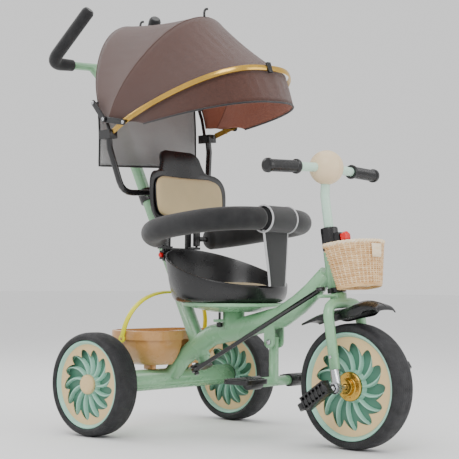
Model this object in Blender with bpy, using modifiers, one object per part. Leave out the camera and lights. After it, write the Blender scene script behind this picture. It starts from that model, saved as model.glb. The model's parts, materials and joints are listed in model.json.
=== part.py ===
"""Children's push tricycle with a turning seat, guard rails, folding canopy and steering push handle.

Metres, +Z up. The rider faces -Y and the rider's right is -X. The ground is z = 0 and the origin is
under the middle of the tricycle. Each moving group hangs from an empty on its joint's axis.
"""

import math

import bmesh
import bpy
from mathutils import Euler, Matrix, Vector

# Driving dimensions
REAR_AXLE_Y = 0.190
FRONT_TYRE_RADIUS = 0.127
REAR_TYRE_RADIUS = 0.112
FRONT_RIM_RADIUS = 0.1094
REAR_RIM_RADIUS = 0.0948
TYRE_HALF_WIDTH = 0.030
RIM_HALF_WIDTH = 0.0256
TREAD_HALF_WIDTH = 0.014
REAR_TRACK_HALF = 0.230
WHEEL_STEPS = 32
GAP = 0.0003

STEERING_POINT = Vector((0, -0.482, 0.319))
STEERING_TILT = math.radians(9.16)
STEERING_TURN = -0.040
FRONT_AXLE_LOCAL = Vector((0, -0.0168, -0.1972))
HEAD_TUBE_RADIUS = 0.018
COLUMN_RADIUS = 0.0125

PUSH_POINT = Vector((0, 0.0864, 0.5543))
PUSH_TILT = math.radians(26.7)
PUSH_TURN = -0.11
PUSH_TUBE_RADIUS = 0.014
SLEEVE_RADIUS = 0.0175

SEAT_PIVOT = Vector((0, -0.200, 0.262))
FOOTREST_HINGE = Vector((0, -0.3155, 0.208))
CRANK_ARM = Vector((0, 0.057, -0.0385))
CRANK_PLANE_X = 0.0745
CANOPY_PIVOT_LOCAL = Vector((0, -0.1095, 0.0761))
BAIL_HINGE = Vector((0, 0.015, 0.207))

# A canopy rib narrows towards its pivots by this share, from this far out
FOOT_TAPER = 0.12
FOOT_REACH = 0.16

TO_X = (0, math.pi / 2, 0)
INTO_YZ = (math.pi / 2, 0, math.pi / 2)
INTO_XZ = (math.pi / 2, 0, 0)
SIDES = (("right", -1), ("left", 1))


def clear_scene():
    for obj in list(bpy.data.objects):
        bpy.data.objects.remove(obj, do_unlink=True)


def srgb(*channels):
    return [((c / 255 + 0.055) / 1.055) ** 2.4 for c in channels]


def material(name, color, roughness, metallic=0.0):
    mat = bpy.data.materials.new(name)
    mat.use_nodes = True
    shader = mat.node_tree.nodes["Principled BSDF"]
    shader.inputs["Base Color"].default_value = (*color, 1)
    shader.inputs["Roughness"].default_value = roughness
    shader.inputs["Metallic"].default_value = metallic
    mat.diffuse_color = (*color, 1)
    return mat


def link(obj, mat=None, parent=None, cutter=False):
    (CUTTERS if cutter else PARTS).objects.link(obj)
    if mat:
        obj.data.materials.clear()
        obj.data.materials.append(mat)
    if cutter:
        obj.hide_render = True
        obj.display_type = "WIRE"
    obj.parent = parent
    return obj


def pivot(name, place, parent=None, tilt=0.0, turn=0.0):
    """An empty on a joint's axis: tilted about X, then turned about its own Z."""
    empty = bpy.data.objects.new(name, None)
    empty.empty_display_size = 0.03
    PARTS.objects.link(empty)
    empty.parent = parent
    empty.location = place
    turned = Matrix.Rotation(tilt, 3, "X") @ Matrix.Rotation(turn, 3, "Z")
    empty.rotation_euler = turned.to_euler()
    return empty


def mesh_object(name, bm, mat=None, parent=None, place=(0, 0, 0), turn=(0, 0, 0), cutter=False):
    mesh = bpy.data.meshes.new(name)
    bm.normal_update()
    bm.to_mesh(mesh)
    bm.free()
    obj = bpy.data.objects.new(name, mesh)
    link(obj, mat, parent, cutter)
    obj.location = place
    obj.rotation_euler = Euler(turn)
    return obj


def rounded(points, radius, steps=4):
    """The path through the points with each inner corner replaced by an arc."""
    path = [Vector(points[0])]
    for before, corner, after in zip(points, points[1:], points[2:]):
        before, corner, after = Vector(before), Vector(corner), Vector(after)
        to_before = (before - corner).normalized()
        to_after = (after - corner).normalized()
        half = to_before.angle(to_after) / 2
        reach = min(radius / math.tan(half), (before - corner).length * 0.49,
                    (after - corner).length * 0.49)
        start = corner + to_before * reach
        end = corner + to_after * reach
        for i in range(steps + 1):
            t = i / steps
            path.append(start * (1 - t) ** 2 + corner * 2 * t * (1 - t) + end * t**2)
    path.append(Vector(points[-1]))
    return path


def tube(name, path, radius, mat=None, parent=None, sides=12):
    """A curve tube; the bevel resolution gives 4 + 2 * resolution sides."""
    data = bpy.data.curves.new(name, "CURVE")
    data.dimensions = "3D"
    data.bevel_depth = radius
    data.bevel_resolution = (sides - 4) // 2
    data.use_fill_caps = True
    spline = data.splines.new("POLY")
    spline.points.add(len(path) - 1)
    for point, co in zip(spline.points, path):
        point.co = (*co, 1)
    obj = bpy.data.objects.new(name, data)
    return link(obj, mat, parent)


def tube_mesh(name, path, radius, mat=None, parent=None, sides=12, cutter=False, taper=None):
    """A tube as a closed mesh, which a Boolean can use. taper scales the radius along the path."""
    curve = tube(name + "_curve", path, radius, sides=sides)
    if taper:
        for point, scale in zip(curve.data.splines[0].points, taper):
            point.radius = scale
    bpy.context.view_layer.update()
    graph = bpy.context.evaluated_depsgraph_get()
    mesh = bpy.data.meshes.new_from_object(curve.evaluated_get(graph))
    bpy.data.objects.remove(curve, do_unlink=True)
    bm = bmesh.new()
    bm.from_mesh(mesh)
    bpy.data.meshes.remove(mesh)
    bmesh.ops.remove_doubles(bm, verts=bm.verts, dist=1e-5)
    return mesh_object(name, bm, mat, parent, cutter=cutter)


def turned(name, profile, mat=None, parent=None, place=(0, 0, 0), turn=(0, 0, 0), steps=24, cutter=False):
    """A Screw solid about local Z. The profile lists (radius, z) down the outer side; it may be a loop."""
    bm = bmesh.new()
    verts = [bm.verts.new((r, 0, z)) for r, z in profile]
    on_axis = profile[0][0] == 0 and profile[-1][0] == 0
    for a, b in zip(verts, verts[1:]):
        bm.edges.new((a, b))
    if not on_axis:
        bm.edges.new((verts[-1], verts[0]))
    obj = mesh_object(name, bm, mat, parent, place, turn, cutter)
    screw = obj.modifiers.new("turn", "SCREW")
    screw.steps = steps
    screw.render_steps = steps
    screw.use_merge_vertices = True
    screw.merge_threshold = 0.00005
    screw.use_smooth_shade = True
    return obj


def cylinder(name, radius, depth, mat=None, parent=None, place=(0, 0, 0), turn=(0, 0, 0), steps=16,
             cutter=False):
    bm = bmesh.new()
    bmesh.ops.create_cone(bm, cap_ends=True, segments=steps, radius1=radius, radius2=radius, depth=depth)
    return mesh_object(name, bm, mat, parent, place, turn, cutter)


def box(name, size, mat=None, parent=None, place=(0, 0, 0), turn=(0, 0, 0), bevel=0.0, cutter=False):
    bm = bmesh.new()
    bmesh.ops.create_cube(bm, size=1)
    bmesh.ops.scale(bm, vec=Vector(size), verts=bm.verts)
    obj = mesh_object(name, bm, mat, parent, place, turn, cutter)
    if bevel:
        round_edges = obj.modifiers.new("round", "BEVEL")
        round_edges.width = bevel
        round_edges.segments = 1
    return obj


def join(obj, other, operation="UNION"):
    """Adds or cuts one solid with another, which stays as a hidden cutter."""
    step = obj.modifiers.new(operation.lower(), "BOOLEAN")
    step.operation = operation
    step.solver = "EXACT"
    step.object = other
    return obj


def plate(name, outline, thickness, mat=None, parent=None, place=(0, 0, 0), turn=(0, 0, 0), cutter=False):
    """A flat outline in local XY, extruded by half its thickness each way."""
    bm = bmesh.new()
    verts = [bm.verts.new((x, y, -thickness / 2)) for x, y in outline]
    face = bm.faces.new(verts)
    made = bmesh.ops.extrude_face_region(bm, geom=[face])
    raised = [v for v in made["geom"] if isinstance(v, bmesh.types.BMVert)]
    bmesh.ops.translate(bm, vec=(0, 0, thickness), verts=raised)
    bmesh.ops.recalc_face_normals(bm, faces=bm.faces)
    return mesh_object(name, bm, mat, parent, place, turn, cutter)


def rounded_box_outline(half_x, half_y, radius, steps=5):
    points = []
    for quarter in range(4):
        cx = (half_x - radius) * (1 if quarter in (0, 3) else -1)
        cy = (half_y - radius) * (1 if quarter in (0, 1) else -1)
        for i in range(steps + 1):
            angle = (quarter + i / steps) * math.pi / 2
            points.append((cx + radius * math.cos(angle), cy + radius * math.sin(angle)))
    return points


def loft(name, sections, mat=None, parent=None, place=(0, 0, 0), turn=(0, 0, 0), cutter=False):
    """A closed solid through sections with equal point counts, capped at both ends."""
    bm = bmesh.new()
    rings = [[bm.verts.new(p) for p in section] for section in sections]
    count = len(rings[0])
    for low, high in zip(rings, rings[1:]):
        for i in range(count):
            j = (i + 1) % count
            bm.faces.new((low[i], low[j], high[j], high[i]))
    bm.faces.new(list(reversed(rings[0])))
    bm.faces.new(rings[-1])
    bmesh.ops.recalc_face_normals(bm, faces=bm.faces)
    return mesh_object(name, bm, mat, parent, place, turn, cutter)


def surface(name, rows, thickness, mat=None, parent=None):
    """An open sheet through rows of points, given its thickness by Solidify."""
    bm = bmesh.new()
    grid = [[bm.verts.new(p) for p in row] for row in rows]
    for a, b in zip(grid, grid[1:]):
        count = len(a)
        for i in range(count - 1):
            j = (i + 1) % count
            bm.faces.new((a[i], a[j], b[j], b[i]))
    bmesh.ops.remove_doubles(bm, verts=bm.verts, dist=1e-5)
    bmesh.ops.recalc_face_normals(bm, faces=bm.faces)
    obj = mesh_object(name, bm, mat, parent)
    wall = obj.modifiers.new("wall", "SOLIDIFY")
    wall.thickness = thickness
    wall.offset = 0
    return obj


def aim(direction):
    """The rotation that points local Z along a direction."""
    return Vector(direction).to_track_quat("Z", "Y").to_euler()


def bore(radius, steps=16):
    """The radius of a faceted hole that clears a round pin."""
    return (radius + GAP) / math.cos(math.pi / steps)


def rod(name, start, end, radius, mat=None, parent=None, steps=16, cutter=False):
    """A straight cylinder between two points."""
    start, end = Vector(start), Vector(end)
    middle = (start + end) / 2
    return cylinder(name, radius, (end - start).length, mat, parent, middle, aim(end - start), steps,
                    cutter)


def capsule(start, end, start_radius, end_radius, steps=6):
    """The outline of a link between two round eyes."""
    start, end = Vector(start), Vector(end)
    heading = math.atan2(end.y - start.y, end.x - start.x)
    points = []
    for center, radius, first in ((end, end_radius, heading - math.pi / 2), (start, start_radius,
                                                                             heading + math.pi / 2)):
        for i in range(steps + 1):
            angle = first + math.pi * i / steps
            points.append((center.x + radius * math.cos(angle), center.y + radius * math.sin(angle)))
    return points


def strap(name, path, across, width, thickness, mat=None, parent=None, cutter=False):
    """A flat strip along a path; across is the direction of its width."""
    path = [Vector(p) for p in path]
    across = Vector(across).normalized()
    sections = []
    for i, point in enumerate(path):
        heading = (path[min(i + 1, len(path) - 1)] - path[max(i - 1, 0)]).normalized()
        side = (across - heading * across.dot(heading)).normalized() * width / 2
        out = heading.cross(side).normalized() * thickness / 2
        sections.append([point + side + out, point - side + out, point - side - out, point + side - out])
    return loft(name, sections, mat, parent, cutter=cutter)


def rib(half_width, reach, power, elevation, start=-1.0, end=1.0, count=20):
    """A canopy rib: a superellipse in a plane through the canopy's pivots, raised from forward."""
    points = []
    for i in range(count + 1):
        angle = (start + (end - start) * i / count) * math.pi / 2
        x = half_width * math.copysign(abs(math.sin(angle)) ** (2 / power), angle)
        out = reach * abs(math.cos(angle)) ** (2 / power)
        x *= 1 - FOOT_TAPER * max(0.0, 1 - out / FOOT_REACH) ** 2
        points.append(Vector((x, -out * math.cos(elevation), out * math.sin(elevation))))
    return points


clear_scene()
PARTS = bpy.data.collections.new("childrens_tricycle")
CUTTERS = bpy.data.collections.new("cutters")
bpy.context.scene.collection.children.link(PARTS)
bpy.context.scene.collection.children.link(CUTTERS)

GREEN = material("frame_green", srgb(150, 190, 155), 0.35)
TEAL = material("rim_teal", srgb(165, 212, 192), 0.4)
MINT = material("bar_mint", srgb(200, 235, 215), 0.35)
BEIGE = material("ball_beige", srgb(238, 214, 176), 0.5)
TAN = material("cap_tan", srgb(222, 196, 145), 0.5)
GOLD = material("gold_metal", srgb(190, 150, 70), 0.35, 0.8)
STEEL = material("bright_steel", srgb(190, 190, 190), 0.25, 1.0)
RUBBER = material("tyre_rubber", srgb(38, 38, 40), 0.75)
BLACK = material("black_plastic", srgb(30, 30, 34), 0.45)
BLACK_PAINT = material("black_paint", srgb(24, 24, 27), 0.3)
FOAM = material("black_foam", srgb(26, 26, 30), 0.9)
PAD = material("khaki_pad", srgb(198, 178, 134), 0.6)
HEATHER = material("canopy_fabric", srgb(168, 116, 98), 0.9)
MESH_GREY = material("grey_mesh", srgb(165, 165, 168), 0.9)
WICKER = material("wicker", srgb(235, 200, 155), 0.7)
BUCKET = material("bucket_tan", srgb(205, 155, 95), 0.5)
YELLOW = material("bail_yellow", srgb(235, 232, 10), 0.5)
RED = material("signal_red", srgb(240, 15, 15), 0.4)

ROOT = pivot("tricycle", (0, REAR_AXLE_Y, 0))
STEERING = pivot("steering_axis", STEERING_POINT, ROOT, -STEERING_TILT, STEERING_TURN)
PUSH = pivot("push_axis", PUSH_POINT, ROOT, -PUSH_TILT, PUSH_TURN)
CANOPY = pivot("canopy_axis", CANOPY_PIVOT_LOCAL, PUSH, PUSH_TILT)

# Main frame
AXLE_HEIGHT = REAR_TYRE_RADIUS
AXLE_TUBE_RADIUS = 0.024
AXLE_TUBE_HALF = 0.206
AXLE_RADIUS = 0.006
MAIN_TUBE_RADIUS = 0.0235
MAIN_TUBE_PATH = [
    (0, -0.458, 0.354), (0, -0.42, 0.318), (0, -0.385, 0.290), (0, -0.34, 0.263), (0, -0.27, 0.246),
    (0, -0.20, 0.229), (0, -0.14, 0.217), (0, -0.09, 0.190), (0, -0.045, 0.160), (0, -0.015, 0.125),
]
MAIN_TUBE_TAPER = [0.80, 0.88, 0.95, 1, 1, 1, 1, 0.95, 0.88, 0.86]
HEAD_TUBE_SPAN = (0.006, 0.082)
SLEEVE_SPAN = (-0.436, -0.280)
CUP_RADIUS = 0.024
CUP_TOP = 0.2697
SPIGOT_RADIUS = 0.014


def tilted(local, origin, tilt):
    """A point in the frame of a tilted axis, in design coordinates."""
    return Vector(origin) + Matrix.Rotation(tilt, 3, "X") @ Vector(local)


def steering_point(z, y=0):
    return tilted((0, y, z), STEERING_POINT, -STEERING_TILT)


def push_point(z, y=0):
    return tilted((0, y, z), PUSH_POINT, -PUSH_TILT)


def build_frame():
    frame = tube_mesh("main_frame", MAIN_TUBE_PATH, MAIN_TUBE_RADIUS, GREEN, ROOT, 16,
                      taper=MAIN_TUBE_TAPER)
    head = rod("head_tube", *(steering_point(z) for z in HEAD_TUBE_SPAN), HEAD_TUBE_RADIUS, None, ROOT, 20,
               True)
    axle_ends = (-AXLE_TUBE_HALF, 0, AXLE_HEIGHT), (AXLE_TUBE_HALF, 0, AXLE_HEIGHT)
    axle_tube = rod("axle_tube", *axle_ends, AXLE_TUBE_RADIUS, None, ROOT, 20, True)
    sleeve = rod("sleeve", *(push_point(z) for z in SLEEVE_SPAN), SLEEVE_RADIUS, None, ROOT, 20, True)
    cup = rod("turntable_cup", (0, SEAT_PIVOT.y, 0.232), (0, SEAT_PIVOT.y, CUP_TOP), CUP_RADIUS, None,
              ROOT, 20, True)
    lug = box("lock_lug", (0.022, 0.020, 0.006), None, ROOT, (-0.029, -0.186, 0.2505), cutter=True)
    for solid in (head, axle_tube, sleeve, cup, lug):
        join(frame, solid)
    for side, sign in SIDES:
        ear = plate("footrest_ear_" + side, capsule((-0.3155, 0.252), (-0.3155, 0.208), 0.014, 0.0135),
                    0.0045,
                    None, ROOT, (sign * 0.0153, 0, 0), INTO_YZ, True)
        join(frame, ear)
    column_hole = rod("column_hole", steering_point(-0.02), steering_point(0.12), bore(COLUMN_RADIUS, 20),
                      None, ROOT,
                      20, True)
    axle_hole = rod("axle_hole", (-0.3, 0, AXLE_HEIGHT), (0.3, 0, AXLE_HEIGHT), bore(AXLE_RADIUS), None,
                    ROOT, 16, True)
    push_hole = rod("push_hole", push_point(-0.48), push_point(-0.25), bore(PUSH_TUBE_RADIUS, 20), None,
                    ROOT, 20, True)
    spigot_hole = rod("spigot_hole", (0, SEAT_PIVOT.y, 0.240), (0, SEAT_PIVOT.y, 0.29),
                      bore(SPIGOT_RADIUS), None,
                      ROOT, 16, True)
    pin_hole = rod("pin_hole", (-0.03, -0.3155, 0.208), (0.03, -0.3155, 0.208), bore(0.004, 10), None,
                   ROOT, 10, True)
    lock_hole = rod("lock_hole", (-0.031, -0.186, 0.24), (-0.031, -0.186, 0.262), bore(0.0028, 10), None,
                    ROOT, 10, True)
    for hole in (column_hole, axle_hole, push_hole, spigot_hole, pin_hole, lock_hole):
        join(frame, hole, "DIFFERENCE")

    rod("rear_axle", (-0.242, 0, AXLE_HEIGHT), (0.242, 0, AXLE_HEIGHT), AXLE_RADIUS, STEEL, ROOT)
    for side, sign in SIDES:
        bush = [(0.020, 0.0037), (0.020, -0.0037), (bore(AXLE_RADIUS), -0.0037), (bore(AXLE_RADIUS),
                                                                                  0.0037)]
        turned("axle_bush_" + side, bush, BLACK, ROOT, (sign * 0.2100, 0, AXLE_HEIGHT), TO_X, 20)
    ring = [(0.0195, 0.0055), (0.0195, -0.0040), (bore(COLUMN_RADIUS, 20), -0.0040), (bore(COLUMN_RADIUS,
                                                                                           20), 0.0055)]
    turned("head_ring", ring, BLACK, ROOT, STEERING_POINT, (-STEERING_TILT, 0, 0), 20)


# Wheels
def wheel_scale(radius):
    """The vertex radius that keeps the flats of a faceted wheel at its true radius."""
    return radius / math.cos(math.pi / WHEEL_STEPS)


def build_tyre(name, tyre_radius, rim_radius, parent):
    crown = tyre_radius - 0.0015
    side = [(crown, 0.024), (tyre_radius - 0.009, TYRE_HALF_WIDTH), (rim_radius + 0.003, 0.0295),
            (rim_radius + GAP, 0.024)]
    profile = [(tyre_radius, TREAD_HALF_WIDTH), (tyre_radius, -TREAD_HALF_WIDTH)]
    profile += [(r, -z) for r, z in side] + [(r, z) for r, z in reversed(side)]
    profile = [(wheel_scale(r), z) for r, z in profile]
    return turned(name, profile, RUBBER, parent, turn=TO_X, steps=WHEEL_STEPS)


def build_rim(name, radius, bore_radius, hub_out, hub_in, parent, mirrored=False):
    """hub_out and hub_in are the hub's reach from the middle on the two sides."""
    wall, web, hub = 0.005, 0.006, 0.028
    outer = wheel_scale(radius)
    profile = [
        (outer, 0.0255), (outer, -0.0255), (outer - wall, -0.0255), (outer - wall, -web), (hub, -web),
        (hub, -hub_in), (bore_radius, -hub_in), (bore_radius, hub_out),
    ]
    if hub_out > web:
        profile += [(hub, hub_out), (hub, web)]
    profile += [(outer - wall, web), (outer - wall, 0.0255)]
    if mirrored:
        profile = [(r, -z) for r, z in reversed(profile)]
    return turned(name, profile, TEAL, parent, turn=TO_X, steps=WHEEL_STEPS)


HALF_STEP = math.pi / WHEEL_STEPS
HUB_BARREL = 0.012
CRANK_RADIUS = 0.0055


def build_rear_wheels():
    for side, sign in SIDES:
        axis = pivot("rear_wheel_" + side, (sign * REAR_TRACK_HALF, 0, AXLE_HEIGHT), ROOT, HALF_STEP)
        build_tyre("rear_tyre_" + side, REAR_TYRE_RADIUS, REAR_RIM_RADIUS, axis)
        build_rim("rear_rim_" + side, REAR_RIM_RADIUS, bore(AXLE_RADIUS, 16) + 0.0001, 0.006, 0.0155, axis,
                  sign < 0)
        cap = [(0, 0.0177), (0.018, 0.0177), (0.0215, 0.0145), (0.0215, 0.0064), (0.013, 0.0064), (0.013,
                                                                                                   0.0150),
               (0, 0.0150)]
        if sign < 0:
            cap = [(r, -z) for r, z in reversed(cap)]
        turned("rear_cap_" + side, cap, TAN, axis, turn=TO_X, steps=24)


def build_front_wheel():
    axis = pivot("front_wheel", FRONT_AXLE_LOCAL, STEERING, HALF_STEP + STEERING_TILT)
    build_tyre("front_tyre", FRONT_TYRE_RADIUS, FRONT_RIM_RADIUS, axis)
    build_rim("front_rim", FRONT_RIM_RADIUS, bore(HUB_BARREL, 24), 0.016, 0.016, axis)
    inner = bore(CRANK_RADIUS, 16)
    side = [(0.017, 0.034), (0.017, 0.0200), (0.030, 0.0200), (0.030, 0.0164), (HUB_BARREL, 0.0164)]
    profile = [(inner, 0.034)] + side + [(r, -z) for r, z in reversed(side)] + [(inner, -0.034)]
    turned("front_hub", profile, GOLD, axis, turn=TO_X, steps=24)


# Steering group, in the steering axis's own frame
FORK_HALF = 0.052
FORK_TUBE_RADIUS = 0.0108
LEG_Y = -0.012
CROWN_Z = -0.027
LEG_END_Z = -0.160
EYE_X = 0.061
STEM_RADIUS = 0.0098
BAR_RADIUS = 0.0095
BALL_RADIUS = 0.036
BALL_CENTER = Vector((0, -0.0131, 0.2572))
BAR_END = Vector((0.168, -0.0036, 0.2529))
ROD_EYE = Matrix.Rotation(-STEERING_TURN, 3, "Z") @ Vector((-0.050, 0.0035, 0.0036))


def build_fork():
    legs = [(-FORK_HALF, LEG_Y, LEG_END_Z), (-FORK_HALF, LEG_Y, CROWN_Z), (FORK_HALF, LEG_Y, CROWN_Z),
            (FORK_HALF, LEG_Y, LEG_END_Z)]
    fork = tube_mesh("fork", rounded(legs, 0.03), FORK_TUBE_RADIUS, GREEN, STEERING, 16)
    join(fork, rod("steerer", (0, 0, -0.036), (0, 0, 0.083), COLUMN_RADIUS, None, STEERING, 20, True))
    join(fork, rod("crown_boss", (0, -0.002, -0.036), (0, -0.002, -0.006), 0.0175, None, STEERING, 20,
                   True))
    arm = plate("rod_arm", capsule((0, 0), (ROD_EYE.x, ROD_EYE.y), 0.012, 0.009), 0.005, None, STEERING,
                (0, 0, -0.0105), cutter=True)
    join(fork, arm)
    join(fork, rod("arm_pin", (ROD_EYE.x, ROD_EYE.y, -0.011), (ROD_EYE.x, ROD_EYE.y, 0.0100), 0.003, None,
                   STEERING,
                   12, True))
    for side, sign in SIDES:
        center = Vector((sign * EYE_X, FRONT_AXLE_LOCAL.y, FRONT_AXLE_LOCAL.z))
        upper = [(sign * FORK_HALF + 0.0104 * math.cos(a), LEG_Y + 0.0104 * math.sin(a), LEG_END_Z - GAP)
                 for a in (math.tau * i / 12 for i in range(12))]
        lower = [(sign * EYE_X + 0.0055 * math.cos(a), center.y + 0.0115 * math.sin(a), center.z + 0.006)
                 for a in (math.tau * i / 12 for i in range(12))]
        dropout = loft("dropout_" + side, [upper, lower], STEEL, STEERING)
        reach = Vector((0.006, 0, 0))
        join(dropout, rod("eye_" + side, center - reach, center + reach, 0.0125, None, STEERING, 20, True))
        join(dropout, rod("eye_hole_" + side, center - 3 * reach, center + 3 * reach, bore(CRANK_RADIUS),
                          None,
                          STEERING, 16, True), "DIFFERENCE")


FENDER_TOP = [
    (0.0820, -0.0545), (0.041, -0.043), (0.005, -0.0410), (-0.030, -0.0400), (-0.0556, -0.033),
    (-0.085, -0.0345), (-0.1132, -0.0460), (-0.1187, -0.0560),
]
FENDER_SKIRT = [
    (0.0800, -0.0605), (0.0343, -0.0560), (0.004, -0.0640), (-0.030, -0.0620), (-0.0656, -0.0610),
    (-0.083, -0.0530), (-0.108, -0.0540), (-0.1180, -0.0620),
]


def build_fender():
    rows = []
    for (top_y, top_z), (skirt_y, skirt_z) in zip(FENDER_TOP, FENDER_SKIRT):
        row = []
        for i in range(11):
            angle = math.pi * i / 10
            across = -math.cos(angle)
            lift = math.sin(angle) ** 0.6
            row.append((0.0285 * across, skirt_y + (top_y - skirt_y) * lift,
                        skirt_z + (top_z - skirt_z) * lift))
        rows.append(row)
    surface("front_fender", rows, 0.0022, BLACK, STEERING)


def build_handlebar():
    bar = rod("handlebar", -Vector((BAR_END.x, -BAR_END.y, -BAR_END.z)), BALL_CENTER, BAR_RADIUS, MINT,
              STEERING, 16)
    join(bar, rod("bar_left", BALL_CENTER, BAR_END, BAR_RADIUS, None, STEERING, 16, True))
    stem = tube_mesh("stem", rounded([(0, 0, 0.0834), (0, 0, 0.20), BALL_CENTER], 0.03), STEM_RADIUS, None,
                     STEERING,
                     16, cutter=True)
    join(bar, stem)
    for side, sign in SIDES:
        end = Vector((sign * BAR_END.x, BAR_END.y, BAR_END.z))
        out = (end - BALL_CENTER).normalized()
        hole = bore(BAR_RADIUS)
        grip = [(0, 0.010), (0.010, 0.010), (0.0150, 0.007), (0.0150, 0.002), (0.0122, -0.001), (0.0122,
                                                                                                 -0.074),
                (0.0155, -0.076), (0.0155, -0.081), (hole, -0.081), (hole, 0.0006), (0, 0.0006)]
        turned("grip_" + side, grip, BLACK, STEERING, end, aim(out), 16)
    ball = mesh_ball()
    hole = bore(BAR_RADIUS) + 0.0004
    for side, sign in SIDES:
        end = Vector((sign * BAR_END.x, BAR_END.y, BAR_END.z))
        join(ball, rod("ball_hole_" + side, BALL_CENTER, end, hole, None, STEERING, 16, True), "DIFFERENCE")
    join(ball, rod("stem_hole", BALL_CENTER, (0, 0, 0.20), bore(STEM_RADIUS) + 0.0008, None, STEERING, 16,
                   True),
         "DIFFERENCE")
    collar = [(0.018, 0.132), (0.018, 0.0833), (bore(STEM_RADIUS), 0.0833), (bore(STEM_RADIUS), 0.132)]
    collar = turned("stem_collar", collar, BLACK, STEERING, steps=20)
    join(collar, box("collar_boss", (0.018, 0.014, 0.024), None, STEERING, (0, -0.0225, 0.106),
                     cutter=True))
    join(collar, rod("stem_clearance", (0, 0, 0.07), (0, 0, 0.14), bore(STEM_RADIUS), None, STEERING, 16,
                     True),
         "DIFFERENCE")
    join(collar, rod("stud_hole", (0, -0.035, 0.106), (0, -0.022, 0.106), bore(0.003, 12), None, STEERING,
                     12, True),
         "DIFFERENCE")
    knob = [(0, 0.0175), (0.009, 0.0175), (0.011, 0.0155), (0.011, 0.0045), (0.008, 0.0025), (0.003,
                                                                                              0.0025),
            (0.003, -0.005), (0, -0.005)]
    turned("clamp_knob", knob, RED, STEERING, (0, -0.0295, 0.106), (math.pi / 2, 0, 0), 20)


def mesh_ball():
    bm = bmesh.new()
    bmesh.ops.create_uvsphere(bm, u_segments=24, v_segments=14, radius=BALL_RADIUS)
    return mesh_object("handlebar_ball", bm, BEIGE, STEERING, BALL_CENTER)


BASKET_TOP = 0.089
BASKET_HEIGHT = 0.091


def basket_ring(z, half, rear, front, inset=0.0):
    """A D-shaped ring: a straight rear side and an elliptical front."""
    half, rear, front = half - inset, rear - inset, front + inset
    straight = rear - 0.35 * (rear - front)
    ring = [(half, straight, z), (half, rear - 0.008, z), (half - 0.008, rear, z), (0, rear, z),
            (0.008 - half, rear, z),
            (-half, rear - 0.008, z), (-half, straight, z)]
    for i in range(1, 12):
        angle = math.pi * i / 12
        ring.append((-half * math.cos(angle), straight + (front - straight) * math.sin(angle), z))
    return ring


def build_basket():
    top = (0.075, -0.0310, -0.112)
    bottom = (0.054, -0.0370, -0.100)
    place = (0, 0, BASKET_TOP)
    basket = loft("basket", [basket_ring(-BASKET_HEIGHT, *bottom), basket_ring(0, *top)], WICKER, STEERING,
                  place)
    well = loft("basket_well", [basket_ring(-BASKET_HEIGHT + 0.004, *bottom, 0.004), basket_ring(0.004,
                                                                                                 *top,
                                                                                                 0.004)],
                None, STEERING, place, cutter=True)
    join(basket, well, "DIFFERENCE")


# Pedals, in the steering frame about the front axle
KNUCKLE_X = 0.0985
KNUCKLE_RADIUS = 0.0078


def build_pedals():
    axis = pivot("pedal_axis", FRONT_AXLE_LOCAL, STEERING)
    arm = Matrix.Rotation(STEERING_TILT, 3, "X") @ CRANK_ARM
    ends = {sign: Vector((sign * CRANK_PLANE_X, -sign * arm.y, -sign * arm.z)) for side, sign in SIDES}
    path = [ends[-1], (-CRANK_PLANE_X, 0, 0), (CRANK_PLANE_X, 0, 0), ends[1]]
    crank = tube_mesh("pedal_crank", rounded(path, 0.006, 3), CRANK_RADIUS, STEEL, axis, 14)
    for side, sign in SIDES:
        end = ends[sign]
        out = Vector((sign, 0, 0))
        join(crank, rod("crank_boss_" + side, end - out * 0.006, end + out * 0.0155, 0.007, None, axis, 16,
                        True))
        fold = pivot("pedal_fold_" + side, end + out * (KNUCKLE_X - CRANK_PLANE_X), axis)
        back = Vector((0, -end.y, -end.z)).normalized()
        hinge = out.cross(back)
        turn = Matrix((out, back, hinge)).transposed().to_euler()
        knuckle = rod("pedal_knuckle_" + side, -hinge * 0.007, hinge * 0.007, KNUCKLE_RADIUS,
                      BLACK_PAINT, fold, 20)
        spindle = rod("spindle_" + side, back * 0.004, back * 0.076, 0.004, None, fold, 12, True)
        join(knuckle, spindle)
        spin = pivot("pedal_spin_" + side, (0, 0, 0), fold)
        middle = back * 0.0445
        pedal = box("pedal_" + side, (0.024, 0.070, 0.030), BLACK, spin, middle, turn, 0.003)
        join(pedal, rod("spindle_hole_" + side, back * 0.002, back * 0.078, bore(0.004, 12), None, spin,
                        12, True),
             "DIFFERENCE")


# Push handle, in the push axis's own frame
HANDLE_TIP = Vector((0.1023, -0.1294, 0.4056))
HANDLE_ELBOW = Vector((0.141, 0.012, 0.352))
CROSSBAR_Z = 0.352
PUSH_TUBE_BOTTOM = -0.4485
HANDLE_BEND = 0.035


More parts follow.
